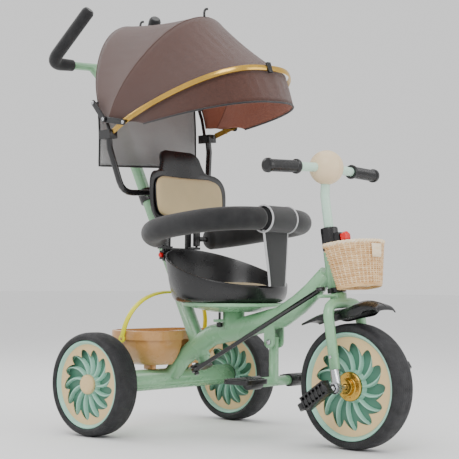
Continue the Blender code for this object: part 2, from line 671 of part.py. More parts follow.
def build_push_handle():
    def side_point(point, sign):
        return Vector((point.x * sign, point.y, point.z))

    path = [side_point(HANDLE_TIP, -1), side_point(HANDLE_ELBOW, -1), HANDLE_ELBOW, HANDLE_TIP]
    handle = rounded(path, HANDLE_BEND)
    push = tube_mesh("push_tube", handle, BAR_RADIUS, GREEN, PUSH, 12)
    join(push, rod("push_upright", (0, 0, PUSH_TUBE_BOTTOM), (0, 0, 0.30), PUSH_TUBE_RADIUS, None, PUSH,
                   20, True))
    flare = [
        [(s * PUSH_TUBE_RADIUS, c * PUSH_TUBE_RADIUS, 0.29)
         for s, c in ((math.sin(math.tau * i / 16), math.cos(math.tau * i / 16)) for i in range(16))],
        [(s * 0.034, 0.012 + c * 0.0092, CROSSBAR_Z)
         for s, c in ((math.sin(math.tau * i / 16), math.cos(math.tau * i / 16)) for i in range(16))],
    ]
    join(push, loft("flare", flare, None, PUSH, cutter=True))
    for side, sign in SIDES:
        bend = [p for p in handle if p.x * sign > 0]
        if sign > 0:
            bend.reverse()
        heading = (bend[0] - bend[1]).normalized()
        inner, beyond = (Vector((sign * x, HANDLE_ELBOW.y, HANDLE_ELBOW.z)) for x in (0.078, 0.060))
        grip = tube_mesh("push_grip_" + side, [bend[0] - heading * 0.006] + bend[1:] + [inner], 0.0150,
                         FOAM, PUSH, 12)
        core = tube_mesh("grip_core_" + side, [bend[0] + heading * 0.01] + bend[1:] + [beyond], 0.0104,
                         None, PUSH,
                         12, True)
        join(grip, core, "DIFFERENCE")


# Canopy, in the canopy axis's own frame: -Y forward, +Z up
BAND_RIB = (0.1603, 0.3757, 2.7, math.radians(18))
SEAM_RIB = (0.1790, 0.3086, 1.97, math.radians(56))
REAR_RIB = (0.1690, 0.2889, 1.96, math.radians(109))
HEM_RIB = (0.1570, 0.3900, 2.54, math.radians(6.5))
RIB_END = 0.93
FOLD_ANGLE = 60
STRUT_A = Vector((0, 0.0246, 0.0748))
STRUT_B = Vector((0, -0.0122, 0.0341))
STRUT_C = Vector((0, -0.0788, 0.0219))
STRUT_PLANE = 0.1720


def between(first, second, share):
    return [a.lerp(b, share) for a, b in zip(first, second)]


def build_canopy():
    fold = pivot("canopy_fold", (0, 0, 0), CANOPY)
    rear, seam = rib(*REAR_RIB, -RIB_END, RIB_END), rib(*SEAM_RIB, -RIB_END, RIB_END)
    shell = surface("canopy_rear", [rear, between(rear, seam, 0.5), between(rear, seam, 0.985)], 0.002,
                    HEATHER,
                    CANOPY)
    for side, sign in SIDES:
        join(shell, rod("rivet_hole_" + side, (sign * 0.14, *STRUT_A.yz), (sign * 0.20, *STRUT_A.yz),
                        0.0035, None,
                        CANOPY, 10, True), "DIFFERENCE")
    band, hem = rib(*BAND_RIB, -RIB_END, RIB_END), rib(*HEM_RIB, -0.84, 0.84)
    front = [between(seam, band, 0.015), between(seam, band, 0.5), band, between(band, hem, 0.5), hem]
    surface("canopy_front_fabric", front, 0.002, HEATHER, fold)

    outer, inner = (rib(BAND_RIB[0] + d, BAND_RIB[1] + d, *BAND_RIB[2:], -0.985, 0.985,
                        28) for d in (0.0103, 0.0081))
    up = Vector((0, math.sin(BAND_RIB[3]), math.cos(BAND_RIB[3]))) * 0.0065
    sections = [[a + up, b + up, b - up, a - up] for a, b in zip(outer, inner)]
    loft("canopy_band", sections, GOLD, fold)


def build_canopy_frame():
    half, bar = 0.1500, 0.0072
    path = [(-half, 0, 0.012), (-half, -0.004, -0.03), (-0.128, -0.018, -0.130), (0.128, -0.018, -0.130),
            (half, -0.004, -0.03), (half, 0, 0.012)]
    frame = tube_mesh("canopy_bar", rounded(path, 0.035), bar, BLACK_PAINT, CANOPY, 12)
    arch = rib(REAR_RIB[0] - 0.009, REAR_RIB[1] - 0.009, *REAR_RIB[2:], -0.97, 0.97, 20)
    join(frame, tube_mesh("rear_arch", arch, 0.004, None, CANOPY, 8, cutter=True))
    bpy.context.view_layer.update()
    tube_front = CANOPY.matrix_world.inverted() @ (PUSH.matrix_world @ Vector((0, 0, -0.02)))
    bracket = rod("canopy_bracket", (0, -0.018, -0.130), tube_front, 0.008, None, CANOPY, 12, True)
    join(frame, bracket)
    clamp = rod("tube_clamp", (0, 0, -0.035), (0, 0, -0.005), 0.0185, None, PUSH, 20, True)
    join(frame, clamp)
    join(frame, rod("clamp_hole", (0, 0, -0.08), (0, 0, 0.04), bore(PUSH_TUBE_RADIUS, 20), None, PUSH, 20,
                    True),
         "DIFFERENCE")
    for side, sign in SIDES:
        join(frame, box("hinge_block_" + side, (0.022, 0.040, 0.020), None, CANOPY,
                        (sign * half, 0.002, 0.002), cutter=True))
        join(frame, rod("strut_pin_" + side, (sign * 0.146, *STRUT_A.yz), (sign * STRUT_PLANE,
                                                                           *STRUT_A.yz), 0.002,
                        None, CANOPY, 10, True))
        build_struts(side, sign)
    panel = [[(x, 0.042 - belly * math.cos(x * 9), z) for x in (-0.146, -0.1, -0.05, 0, 0.05, 0.1, 0.146)]
             for belly, z in ((0, -0.066), (0.006, -0.03), (0.008, 0.03), (0.004, 0.088))]
    surface("mesh_panel", panel, 0.002, MESH_GREY, CANOPY)


def build_struts(side, sign):
    rear_axis = pivot("strut_rear_axis_" + side, (sign * STRUT_PLANE, *STRUT_A.yz), CANOPY)
    reach = STRUT_B - STRUT_A
    arm = plate("strut_rear_" + side, capsule((0, 0), reach.yz, 0.0065, 0.0065), 0.003, BLACK_PAINT,
                rear_axis,
                turn=INTO_YZ)
    join(arm, rod("strut_rear_hole_" + side, (-0.01, 0, 0), (0.01, 0, 0), bore(0.002, 10), None, rear_axis,
                  10, True),
         "DIFFERENCE")
    front_axis = pivot("strut_front_axis_" + side, (sign * (STRUT_PLANE - 0.0036), *STRUT_C.yz), CANOPY)
    reach = STRUT_B - STRUT_C
    arm = plate("strut_front_" + side, capsule((0, 0), reach.yz, 0.0065, 0.0065), 0.003, BLACK_PAINT,
                front_axis,
                turn=INTO_YZ)
    join(arm, rod("strut_front_pin_" + side, (0, 0, 0), (-sign * 0.0028, 0, 0), 0.0025, None, front_axis,
                  10, True))


# Steering linkage
CRANK_EYE = Vector((-0.045, -0.0055, -0.4663))
ROD_REAR_LOCAL = Matrix.Rotation(-PUSH_TURN, 3, "Z") @ CRANK_EYE


def build_linkage():
    crank = plate("steering_crank", capsule((0, 0), ROD_REAR_LOCAL.xy, 0.015, 0.009), 0.005, BLACK_PAINT,
                  PUSH,
                  (0, 0, -0.4575))
    join(crank, rod("crank_spacer", (0, 0, -0.458), (0, 0, PUSH_TUBE_BOTTOM - GAP), 0.013, None, PUSH, 16,
                    True))
    pin = Vector((ROD_REAR_LOCAL.x, ROD_REAR_LOCAL.y, 0))
    join(crank, rod("crank_pin", pin + Vector((0, 0, -0.458)), pin + Vector((0, 0, -0.4735)), 0.003, None,
                    PUSH, 12,
                    True))
    join(crank, rod("crank_nut", pin + Vector((0, 0, -0.4725)), pin + Vector((0, 0, -0.4775)), 0.0058,
                    None, PUSH, 6,
                    True))
    rear = tilted(CRANK_EYE, PUSH_POINT, -PUSH_TILT)
    front = tilted(Matrix.Rotation(STEERING_TURN, 3, "Z") @ ROD_EYE, STEERING_POINT, -STEERING_TILT)
    heading = (front - rear).normalized()
    link_rod = rod("steering_rod", rear + heading * 0.006, front - heading * 0.006, 0.005, BLACK_PAINT,
                   ROOT, 14)
    up_rear = push_point(1) - push_point(0)
    up_front = steering_point(1) - steering_point(0)
    for name, point, up in (("rear", rear, up_rear), ("front", front, up_front)):
        join(link_rod, rod(f"rod_eye_{name}", point - up * 0.004, point + up * 0.004, 0.009, None, ROOT,
                           16, True))
    for name, point, up, radius in (("rear", rear, up_rear, 0.0042), ("front", front, up_front, 0.0052)):
        hole = rod(f"rod_hole_{name}", point - up * 0.02, point + up * 0.02, radius, None, ROOT, 12, True)
        join(link_rod, hole, "DIFFERENCE")


# Footrest
FOOT_DROP = -0.084


def build_footrest():
    hinge = pivot("footrest_hinge", FOOTREST_HINGE, ROOT)
    rest = rod("footrest", (0, 0, 0.010), (0, 0, FOOT_DROP), 0.0105, GREEN, hinge, 16)
    join(rest, rod("footrest_cross", (-0.049, 0, FOOT_DROP), (0.049, 0, FOOT_DROP), 0.0105, None, hinge,
                   16, True))
    join(rest, rod("footrest_pin", (-0.0205, 0, 0), (0.0205, 0, 0), 0.004, None, hinge, 10, True))
    for side, sign in SIDES:
        outline = [(x + sign * 0.0918, y) for x, y in rounded_box_outline(0.0400, 0.032, 0.012, 3)]
        pad = plate("foot_pad_" + side, outline, 0.010, BLACK, hinge, (0, 0, FOOT_DROP + 0.0045))
        hub = rod("pad_hub_" + side, (sign * 0.0494, 0, FOOT_DROP), (sign * 0.087, 0, FOOT_DROP), 0.0142,
                  None, hinge,
                  16, True)
        join(pad, hub)


# Toy bucket
BUCKET_RIM_Z = 0.225


def bucket_ring(z, half_x, front, rear, radius, notch_half, notch_y, inset=0.0):
    """A rounded rectangle with a notch in its front side, as one ring of points."""
    half_x, front, rear = half_x - inset, front + inset, rear - inset
    notch_half, notch_y, radius = notch_half + inset, notch_y + inset, radius - inset
    ring = [(notch_half, notch_y), (notch_half, front)]
    corners = ((half_x, front, -90), (half_x, rear, 0), (-half_x, rear, 90), (-half_x, front, 180))
    for x, y, first in corners:
        cx = x - math.copysign(radius, x)
        cy = front + radius if y == front else rear - radius
        for i in range(6):
            angle = math.radians(first + 18 * i)
            ring.append((cx + radius * math.cos(angle), cy + radius * math.sin(angle)))
    ring += [(-notch_half, front), (-notch_half, notch_y)]
    return [(x, y, z) for x, y in ring]


def build_bucket():
    rim = (0.1310, -0.0735, 0.0865, 0.058, 0.028, -0.0540)
    waist = (0.1250, -0.0690, 0.0820, 0.055, 0.028, -0.0420)
    floor = (0.0960, -0.0460, 0.0600, 0.040, 0.028, -0.0020)
    levels = ((0.147, floor), (0.204, waist), (0.2042, rim), (BUCKET_RIM_Z, rim))
    bucket = loft("bucket", [bucket_ring(z, *shape) for z, shape in levels], BUCKET, ROOT)
    wells = ((0.150, floor), (0.204, waist), (BUCKET_RIM_Z + 0.01, waist))
    join(bucket, loft("bucket_well", [bucket_ring(z, *shape, 0.003) for z, shape in wells], None, ROOT,
                      cutter=True),
         "DIFFERENCE")
    for side, sign in SIDES:
        join(bucket, box("bucket_leg_" + side, (0.012, 0.030, 0.0115), None, ROOT,
                         (sign * 0.060, 0, AXLE_HEIGHT + AXLE_TUBE_RADIUS + 0.0005 + 0.00575), cutter=True))
        join(bucket, rod("bail_pin_" + side, (sign * 0.127, *BAIL_HINGE.yz), (sign * 0.1385,
                                                                              *BAIL_HINGE.yz), 0.0028,
                         None, ROOT, 10, True))


BAIL_LEAN = 0.25
BAIL_HEIGHT = 0.108
BAIL_HALF = 0.1345
BAIL_POWER = 2.5


def build_bail():
    hinge = pivot("bail_hinge", BAIL_HINGE, ROOT, BAIL_LEAN)
    path = []
    for i in range(25):
        angle = math.pi * i / 24
        x = BAIL_HALF * math.copysign(abs(math.cos(angle)) ** (2 / BAIL_POWER), math.cos(angle))
        path.append((x, 0, BAIL_HEIGHT * math.sin(angle) ** (2 / BAIL_POWER)))
    bail = strap("bail", path, (0, 1, 0), 0.012, 0.004, YELLOW, hinge)
    for side, sign in SIDES:
        join(bail, rod("bail_eye_" + side, (sign * 0.1325, 0, 0), (sign * 0.1365, 0, 0), 0.009, None,
                       hinge, 16, True))
        join(bail, rod("bail_hole_" + side, (sign * 0.12, 0, 0), (sign * 0.145, 0, 0), bore(0.0028, 10),
                       None, hinge, 10,
                       True), "DIFFERENCE")


# Seat group, about the turntable axis
PAN_BOTTOM = 0.2702
PAN_TOP = 0.2900
PAN_RADIUS = 0.115
SHELL_SIDES = 32
SHELL_WIDEN = 1.14
SHELL_SHIFT = 0.013


def seat_ring(radius, z, rear_radius=None, rear_z=None):
    """A ring about the seat's axis whose rear may lie further out and higher than its front."""
    ring = []
    for i in range(SHELL_SIDES):
        angle = math.tau * i / SHELL_SIDES
        rear = max(0.0, (1 + math.sin(angle)) / 2) ** 1.5
        r = radius + ((rear_radius or radius) - radius) * rear
        height = z + ((rear_z or z) - z) * rear
        ring.append((SHELL_WIDEN * r * math.cos(angle), SHELL_SHIFT + r * math.sin(angle), height))
    return ring


def build_seat():
    seat = pivot("seat_axis", (0, SEAT_PIVOT.y, 0), ROOT)
    pan = [(0, PAN_TOP), (PAN_RADIUS, PAN_TOP), (PAN_RADIUS, PAN_TOP - 0.0065), (0.050, PAN_BOTTOM),
           (SPIGOT_RADIUS, PAN_BOTTOM), (SPIGOT_RADIUS, 0.244), (0, 0.244)]
    turned("seat_pan", pan, GREEN, seat, steps=32)
    shell = [
        seat_ring(0.106, 0.2904), seat_ring(0.116, 0.297), seat_ring(0.121, 0.318, 0.122),
        seat_ring(0.120, 0.326, 0.139, 0.409), seat_ring(0.115, 0.326, 0.134, 0.409),
        seat_ring(0.109, 0.312, 0.112), seat_ring(0.092, 0.304),
    ]
    loft("seat_shell", shell, BLACK, seat)
    pad = [seat_ring(0.088, 0.3046), seat_ring(0.086, 0.3110), seat_ring(0.074, 0.3160)]
    loft("seat_pad", pad, PAD, seat)
    build_backrest(seat)
    build_bracket(seat)
    build_guard(seat)


def backrest_rows(levels, sag, forward=0.0):
    rows = []
    for z, half, y in levels:
        row = []
        for i in range(13):
            share = -1 + i / 6
            row.append((half * share, y - forward - sag * (half * share / 0.12) ** 2, z))
        rows.append(row)
    return rows


# Seat frame: Y is measured from the turntable axis
BACK_LEVELS = [
    (0.4705, 0.088, 0.160), (0.482, 0.108, 0.160), (0.500, 0.120, 0.161), (0.530, 0.1235, 0.163),
    (0.556, 0.122, 0.165), (0.574, 0.113, 0.167), (0.584, 0.098, 0.169), (0.589, 0.076, 0.170),
    (0.606, 0.067, 0.173), (0.622, 0.063, 0.177), (0.632, 0.054, 0.180), (0.637, 0.040, 0.181),
]
PAD_LEVELS = [
    (0.482, 0.070, 0.160), (0.489, 0.098, 0.160), (0.505, 0.108, 0.161), (0.530, 0.1105, 0.163),
    (0.552, 0.108, 0.165), (0.566, 0.098, 0.166), (0.574, 0.075, 0.167),
]


def build_backrest(seat):
    surface("backrest", backrest_rows(BACK_LEVELS, 0.022), 0.012, BLACK, seat)
    surface("backrest_pad", backrest_rows(PAD_LEVELS, 0.022, 0.0128), 0.011, PAD, seat)


HINGE_X = 0.055
HINGE_Y = 0.166
HINGE_Z = (0.4175, 0.4500)
POST_X = 0.034


def build_bracket(seat):
    bracket = box("seat_bracket", (0.090, 0.0045, 0.030), BLACK_PAINT, seat, (0, 0.1772, 0.398))
    for side, sign in SIDES:
        post = [(sign * POST_X, 0.1455, 0.345), (sign * POST_X, 0.152, 0.362), (sign * POST_X, 0.1735,
                                                                                0.385),
                (sign * POST_X, 0.1735, 0.520)]
        join(bracket, strap("post_" + side, post, (1, 0, 0), 0.016, 0.0055, None, seat, True))
        join(bracket, box("hinge_tab_" + side, (0.034, 0.016, 0.006), None, seat,
                          (sign * (HINGE_X - 0.009), HINGE_Y + 0.003, HINGE_Z[0] - 0.0045), cutter=True))
        join(bracket, rod("hinge_pin_" + side, (sign * HINGE_X, HINGE_Y, HINGE_Z[0] - 0.006),
                          (sign * HINGE_X, HINGE_Y, HINGE_Z[1] + 0.003), 0.003, None, seat, 12, True))
    join(bracket, box("button_housing", (0.014, 0.015, 0.020), None, seat, (-0.049, 0.1700, 0.396),
                      cutter=True))
    join(bracket, rod("button_hole", (-0.070, 0.1705, 0.396), (-0.045, 0.1705, 0.396), bore(0.0055), None,
                      seat, 16,
                      True), "DIFFERENCE")
    button = pivot("button_axis", (0, 0, 0), seat)
    cap = [(0, 0.006), (0.0045, 0.006), (0.0055, 0.0045), (0.0055, -0.006), (0, -0.006)]
    turned("guard_button", cap, RED, button, (-0.0560, 0.1705, 0.396), (0, -math.pi / 2, 0), 16)


GUARD_RADIUS = 0.025
GUARD_FRONT_Z = 0.471
GUARD_REAR_Z = 0.431
GUARD_START = 69
GUARD_SPLIT = 8.4


def guard_point(angle):
    """The ring's centreline: a superellipse on a plane that rises towards the front. Angle 0 is the left."""
    half_x, half_y, middle, power = 0.155, 0.140, 0.022, 3.0
    x = half_x * math.copysign(abs(math.cos(angle)) ** (2 / power), math.cos(angle))
    y = middle + half_y * math.copysign(abs(math.sin(angle)) ** (2 / power), math.sin(angle))
    rise = max(0.0, (middle + half_y - y) / (2 * half_y)) ** 0.6
    return Vector((x, y, GUARD_REAR_Z + (GUARD_FRONT_Z - GUARD_REAR_Z) * rise))


def guard_path(start, end, offset, count=18):
    shares = [i / count for i in range(count)] + [1 - 0.1 / count, 1]
    return [guard_point(math.radians(start + (end - start) * share)) - offset for share in shares]


def build_guard(seat):
    for side, sign in SIDES:
        hinge = pivot("guard_hinge_" + side, (sign * HINGE_X, HINGE_Y, 0), seat)
        offset = Vector((sign * HINGE_X, HINGE_Y, 0))
        ends = (GUARD_START, -90 - GUARD_SPLIT) if sign > 0 else (180 - GUARD_START,
                                                                  270 - GUARD_SPLIT - 0.3)
        path = guard_path(*ends, offset)
        guard = tube_mesh("guard_" + side, path, GUARD_RADIUS, FOAM, hinge, 14)
        low, high = Vector((0, 0, HINGE_Z[0] + 0.0005)), Vector((0, 0, HINGE_Z[1]))
        beyond = Vector((0, 0, 0.02))
        join(guard, rod("guard_arm_" + side, (0, 0, path[0].z), path[0], 0.006, None, hinge, 12, True))
        join(guard, rod("guard_eye_" + side, low, high, 0.0085, None, hinge, 16, True))
        join(guard, rod("guard_bore_" + side, low - beyond, high + beyond, bore(0.003, 12), None, hinge,
                        12, True),
             "DIFFERENCE")
        if sign > 0:
            build_crotch_strap(hinge, offset)


def build_crotch_strap(hinge, offset):
    """A webbing strap and its wrap round the ring; it rides on the left guard."""
    wrap = tube_mesh("crotch_strap", guard_path(-82.2, -97.8, offset, 6), GUARD_RADIUS + 0.0035, BLACK,
                     hinge, 18)
    core = guard_path(-78.0, -102.0, offset, 10)
    join(wrap, tube_mesh("strap_core", core, GUARD_RADIUS + 0.0013, None, hinge, 18, True), "DIFFERENCE")
    path = [(-0.1180, 0.4440, 0.080), (-0.1205, 0.4052, 0.070), (-0.1226, 0.3622, 0.058), (-0.1236, 0.3270,
                                                                                           0.050)]
    corners = ((1, 0.002), (-1, 0.002), (-1, -0.002), (1, -0.002))
    sections = [[Vector((side * width / 2, y + depth, z)) - offset for side, depth in corners]
                for y, z, width in path]
    join(wrap, loft("strap_web", sections, None, hinge, cutter=True))


def build_lock_knob():
    knob = [(0, 0.269), (0.0028, 0.269), (0.0028, 0.2465), (0.0070, 0.2465), (0.0070, 0.2380),
            (0.0050, 0.2360), (0, 0.2360)]
    turned("lock_knob", knob, BLACK, ROOT, (-0.031, -0.186, 0), steps=16)


def main():
    build_frame()
    build_rear_wheels()
    build_fork()
    build_fender()
    build_front_wheel()
    build_handlebar()
    build_basket()
    build_pedals()
    build_push_handle()
    build_canopy()
    build_canopy_frame()
    build_linkage()
    build_footrest()
    build_bucket()
    build_bail()
    build_seat()
    build_lock_knob()


main()
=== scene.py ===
"""Builds the tricycle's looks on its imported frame: wheels, canopy, seat, basket, bucket and trims."""

import json
import math

import bmesh
import bpy
from bpy.props import FloatProperty, IntProperty, PointerProperty
from bpy.types import Operator, Panel, PropertyGroup
from mathutils import Matrix, Vector

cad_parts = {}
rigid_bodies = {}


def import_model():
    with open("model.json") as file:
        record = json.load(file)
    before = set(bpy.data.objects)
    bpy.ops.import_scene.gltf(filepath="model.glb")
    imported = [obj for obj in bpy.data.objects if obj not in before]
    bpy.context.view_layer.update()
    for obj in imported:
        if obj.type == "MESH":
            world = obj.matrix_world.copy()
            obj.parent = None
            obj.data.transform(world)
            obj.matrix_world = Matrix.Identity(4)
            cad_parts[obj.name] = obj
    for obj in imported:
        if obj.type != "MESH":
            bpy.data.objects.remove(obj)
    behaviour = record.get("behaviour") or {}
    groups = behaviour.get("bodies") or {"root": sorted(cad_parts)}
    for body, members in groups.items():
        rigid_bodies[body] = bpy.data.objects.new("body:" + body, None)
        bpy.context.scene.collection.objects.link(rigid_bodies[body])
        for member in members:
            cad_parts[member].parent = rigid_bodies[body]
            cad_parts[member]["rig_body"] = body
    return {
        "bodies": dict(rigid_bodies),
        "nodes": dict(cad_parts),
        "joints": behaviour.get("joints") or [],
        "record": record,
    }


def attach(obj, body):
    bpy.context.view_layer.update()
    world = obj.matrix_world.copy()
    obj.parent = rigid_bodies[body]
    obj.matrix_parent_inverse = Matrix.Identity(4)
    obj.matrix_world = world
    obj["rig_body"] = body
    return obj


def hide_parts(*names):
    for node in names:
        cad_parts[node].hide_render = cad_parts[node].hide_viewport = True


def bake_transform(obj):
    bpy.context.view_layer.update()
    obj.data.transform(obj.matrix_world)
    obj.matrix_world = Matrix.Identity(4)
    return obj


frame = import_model()

bl_info = {
    "name": "Push tricycle",
    "version": (1, 0, 0),
    "blender": (4, 5, 0),
    "location": "View3D > Sidebar > Tricycle",
    "description": "Adds the visible pieces and finishes of a children's push tricycle",
    "category": "Add Mesh",
}

STEERING_TILT = math.radians(9.16)
STEERING_TURN = -0.04
PUSH_TILT = math.radians(26.7)
PUSH_TURN = -0.11
AXLE = Vector((0, -0.0168, -0.1972))


def turn_x(angle):
    return Matrix.Rotation(angle, 4, "X")


def turn_z(angle):
    return Matrix.Rotation(angle, 4, "Z")


STEERING = Matrix.Translation((0, -0.292, 0.319)) @ turn_x(-STEERING_TILT) @ turn_z(STEERING_TURN)
PUSH = Matrix.Translation((0, 0.2764, 0.5543)) @ turn_x(-PUSH_TILT) @ turn_z(PUSH_TURN)
CANOPY = PUSH @ Matrix.Translation((0, -0.1095, 0.0761)) @ turn_x(PUSH_TILT)
SEAT = Matrix.Translation((0, -0.01, 0))
REAR = Matrix.Translation((0, 0.19, 0))
TO_X = Matrix.Rotation(math.pi / 2, 4, "Y")
SIDES = (("right", -1), ("left", 1))
STATE = {}


# Colours and finishes


def srgb(*channels):
    return [((c / 255 + 0.055) / 1.055) ** 2.4 for c in channels] + [1.0]


class Shader:
    """A Principled material built node by node."""

    def __init__(self, name):
        self.mat = bpy.data.materials.new(name)
        self.mat.use_nodes = True
        self.nodes = self.mat.node_tree.nodes
        self.links = self.mat.node_tree.links
        self.bsdf = self.nodes["Principled BSDF"]
        self.coords = self.nodes.new("ShaderNodeTexCoord")

    def link(self, source, target):
        self.links.new(source, target)

    def node(self, kind, inputs=(), **settings):
        made = self.nodes.new(kind)
        for key, value in settings.items():
            setattr(made, key, value)
        self.feed((made.inputs[key], value) for key, value in dict(inputs).items())
        return made

    def noise(self, scale, detail=4.0, space="Object", stretch=None):
        vector = self.coords.outputs[space]
        if stretch:
            vector = self.node("ShaderNodeMapping", {"Vector": vector, "Scale": stretch}).outputs[0]
        found = self.node("ShaderNodeTexNoise", {"Vector": vector, "Scale": scale, "Detail": detail})
        return found.outputs["Fac"]

    def maths(self, operation, first, second=0.0):
        made = self.node("ShaderNodeMath", operation=operation)
        self.feed(zip(made.inputs, (first, second)))
        return made.outputs[0]

    def ramp(self, factor, low, high, start=0.3, end=0.7):
        made = self.node("ShaderNodeMapRange", {0: factor, 1: start, 2: end, 3: low, 4: high})
        return made.outputs[0]

    def mix(self, factor, first, second):
        made = self.node("ShaderNodeMix", data_type="RGBA")
        self.feed(((made.inputs[0], factor), (made.inputs[6], first), (made.inputs[7], second)))
        return made.outputs[2]

    def feed(self, pairs):
        for socket, value in pairs:
            if isinstance(value, bpy.types.NodeSocket):
                self.link(value, socket)
            else:
                socket.default_value = value

    def color(self, value):
        self.feed([(self.bsdf.inputs["Base Color"], value)])

    def roughness(self, value):
        self.feed([(self.bsdf.inputs["Roughness"], value)])

    def bump(self, height, strength, distance):
        made = self.node("ShaderNodeBump", {"Height": height, "Strength": strength,
                                            "Distance": distance})
        self.link(made.outputs[0], self.bsdf.inputs["Normal"])


def tinted(color, share):
    return [min(1.0, c * share) for c in color[:3]] + [1.0]


def moulded(name, color, low=0.28, high=0.42, bump=0.12, scale=260.0, coat=0.15):
    """Smooth moulded plastic: faint mottling, uneven gloss and a fine orange-peel skin."""
    s = Shader(name)
    s.color(s.mix(s.ramp(s.noise(9.0), 0.0, 1.0), tinted(color, 0.93), tinted(color, 1.05)))
    s.roughness(s.ramp(s.noise(34.0), low, high))
    s.bump(s.noise(scale), bump, 0.0004)
    s.bsdf.inputs["Coat Weight"].default_value = coat
    s.bsdf.inputs["Coat Roughness"].default_value = 0.2
    return s.mat


def painted(name, color, low=0.2, high=0.34):
    """Powder coat: even colour, orange peel and a clear gloss."""
    s = Shader(name)
    s.color(s.mix(s.ramp(s.noise(5.0), 0.0, 1.0), tinted(color, 0.95), tinted(color, 1.04)))
    s.roughness(s.ramp(s.noise(22.0), low, high))
    s.bump(s.noise(420.0, 2.0), 0.1, 0.0003)
    s.bsdf.inputs["Coat Weight"].default_value = 0.35
    s.bsdf.inputs["Coat Roughness"].default_value = 0.12
    return s.mat


def metal(name, color, low, high, scale=(1.0, 1.0, 40.0)):
    """Bare or plated metal with fine drawn lines."""
    s = Shader(name)
    s.color(s.mix(s.ramp(s.noise(14.0), 0.0, 1.0), tinted(color, 0.86), tinted(color, 1.06)))
    s.bsdf.inputs["Metallic"].default_value = 1.0
    s.roughness(s.ramp(s.noise(60.0, 3.0, stretch=scale), low, high))
    s.bump(s.noise(300.0, 2.0, stretch=scale), 0.06, 0.0002)
    return s.mat


def rubber(name):
    """Tyre rubber with rows of small pits on the tread, laid out in the mesh's own UVs in metres."""
    s = Shader(name)
    s.color(s.mix(s.ramp(s.noise(40.0), 0.0, 1.0), srgb(22, 22, 24), srgb(40, 40, 43)))
    s.roughness(s.ramp(s.noise(90.0), 0.5, 0.72))
    pits = s.node("ShaderNodeTexVoronoi", {"Vector": s.coords.outputs["UV"], "Scale": 150.0,
                                           "Randomness": 0.0},
                  voronoi_dimensions="2D")
    dots = s.ramp(pits.outputs["Distance"], -1.0, 0.0, 0.16, 0.3)
    grain = s.maths("MULTIPLY", s.noise(700.0), 0.18)
    s.bump(s.maths("ADD", dots, grain), 0.55, 0.0012)
    return s.mat


def weave(name, dark, light, pitch, strength=0.5, rough=0.88, sheen=0.35):
    """Plain-woven cloth on UVs in metres: crossing yarns, and heather flecks along each yarn."""
    s = Shader(name)
    parts = s.node("ShaderNodeSeparateXYZ", {0: s.coords.outputs["UV"]})
    waves = []
    for axis in (0, 1):
        turns = s.maths("MULTIPLY", parts.outputs[axis], math.tau / pitch)
        waves.append(s.maths("SINE", turns))
    cross = s.maths("MULTIPLY", waves[0], waves[1])
    flecks_a = s.noise(1.0, 3.0, "UV", (90.0, 900.0, 1.0))
    flecks_b = s.noise(1.0, 3.0, "UV", (900.0, 90.0, 1.0))
    flecks = s.maths("ADD", flecks_a, flecks_b)
    tone = s.mix(s.ramp(flecks, 0.0, 1.0, 0.82, 1.18), dark, light)
    faded = s.mix(s.ramp(s.noise(7.0), 0.0, 0.35), tone, tinted(light, 1.08))
    s.color(faded)
    s.roughness(s.ramp(cross, rough - 0.06, rough + 0.06, -1.0, 1.0))
    s.bump(s.maths("ADD", cross, s.maths("MULTIPLY", flecks, 1.5)), strength, 0.0004)
    s.bsdf.inputs["Sheen Weight"].default_value = sheen
    s.bsdf.inputs["Sheen Roughness"].default_value = 0.5
    return s.mat


def knitted(name, color, cell=620.0):
    """A fine air-mesh sleeve over foam."""
    s = Shader(name)
    cells = s.node("ShaderNodeTexVoronoi", {"Vector": s.coords.outputs["Object"], "Scale": cell})
    holes = cells.outputs["Distance"]
    s.color(s.mix(s.ramp(holes, 1.0, 0.0, 0.1, 0.55), tinted(color, 1.5), tinted(color, 0.6)))
    s.roughness(s.ramp(s.noise(50.0), 0.72, 0.92))
    s.bump(holes, 0.6, 0.0007)
    s.bsdf.inputs["Sheen Weight"].default_value = 0.25
    return s.mat


def netting(name, color):
    """See-through mesh cloth on UVs in metres."""
    s = Shader(name)
    cells = s.node("ShaderNodeTexVoronoi", {"Vector": s.coords.outputs["UV"], "Scale": 520.0,
                                            "Randomness": 0.0},
                   voronoi_dimensions="2D")
    hole = s.ramp(cells.outputs["Distance"], 1.0, 0.0, 0.22, 0.4)
    s.color(s.mix(s.ramp(s.noise(12.0), 0.0, 1.0), tinted(color, 0.88), tinted(color, 1.08)))
    s.roughness(s.ramp(s.noise(80.0), 0.7, 0.9))
    s.bump(hole, 0.4, 0.0004)
    s.link(s.maths("SUBTRACT", 1.0, s.maths("MULTIPLY", hole, 0.55)), s.bsdf.inputs["Alpha"])
    return s.mat


def rattan(name, dark, light):
    s = Shader(name)
    s.color(s.mix(s.ramp(s.noise(55.0, 5.0, stretch=(1.0, 1.0, 3.0)), 0.0, 1.0), dark, light))
    s.roughness(s.ramp(s.noise(120.0), 0.42, 0.62))
    s.bump(s.noise(900.0, 3.0, stretch=(1.0, 1.0, 0.2)), 0.3, 0.0004)
    return s.mat


def leatherette(name, color):
    """Smooth vinyl: soft pebble grain and worn gloss."""
    s = Shader(name)
    s.color(s.mix(s.ramp(s.noise(11.0), 0.0, 1.0), tinted(color, 0.9), tinted(color, 1.06)))
    s.roughness(s.ramp(s.noise(30.0), 0.4, 0.56))
    cells = s.node("ShaderNodeTexVoronoi", {"Vector": s.coords.outputs["Object"], "Scale": 820.0})
    s.bump(cells.outputs["Distance"], 0.18, 0.0004)
    return s.mat


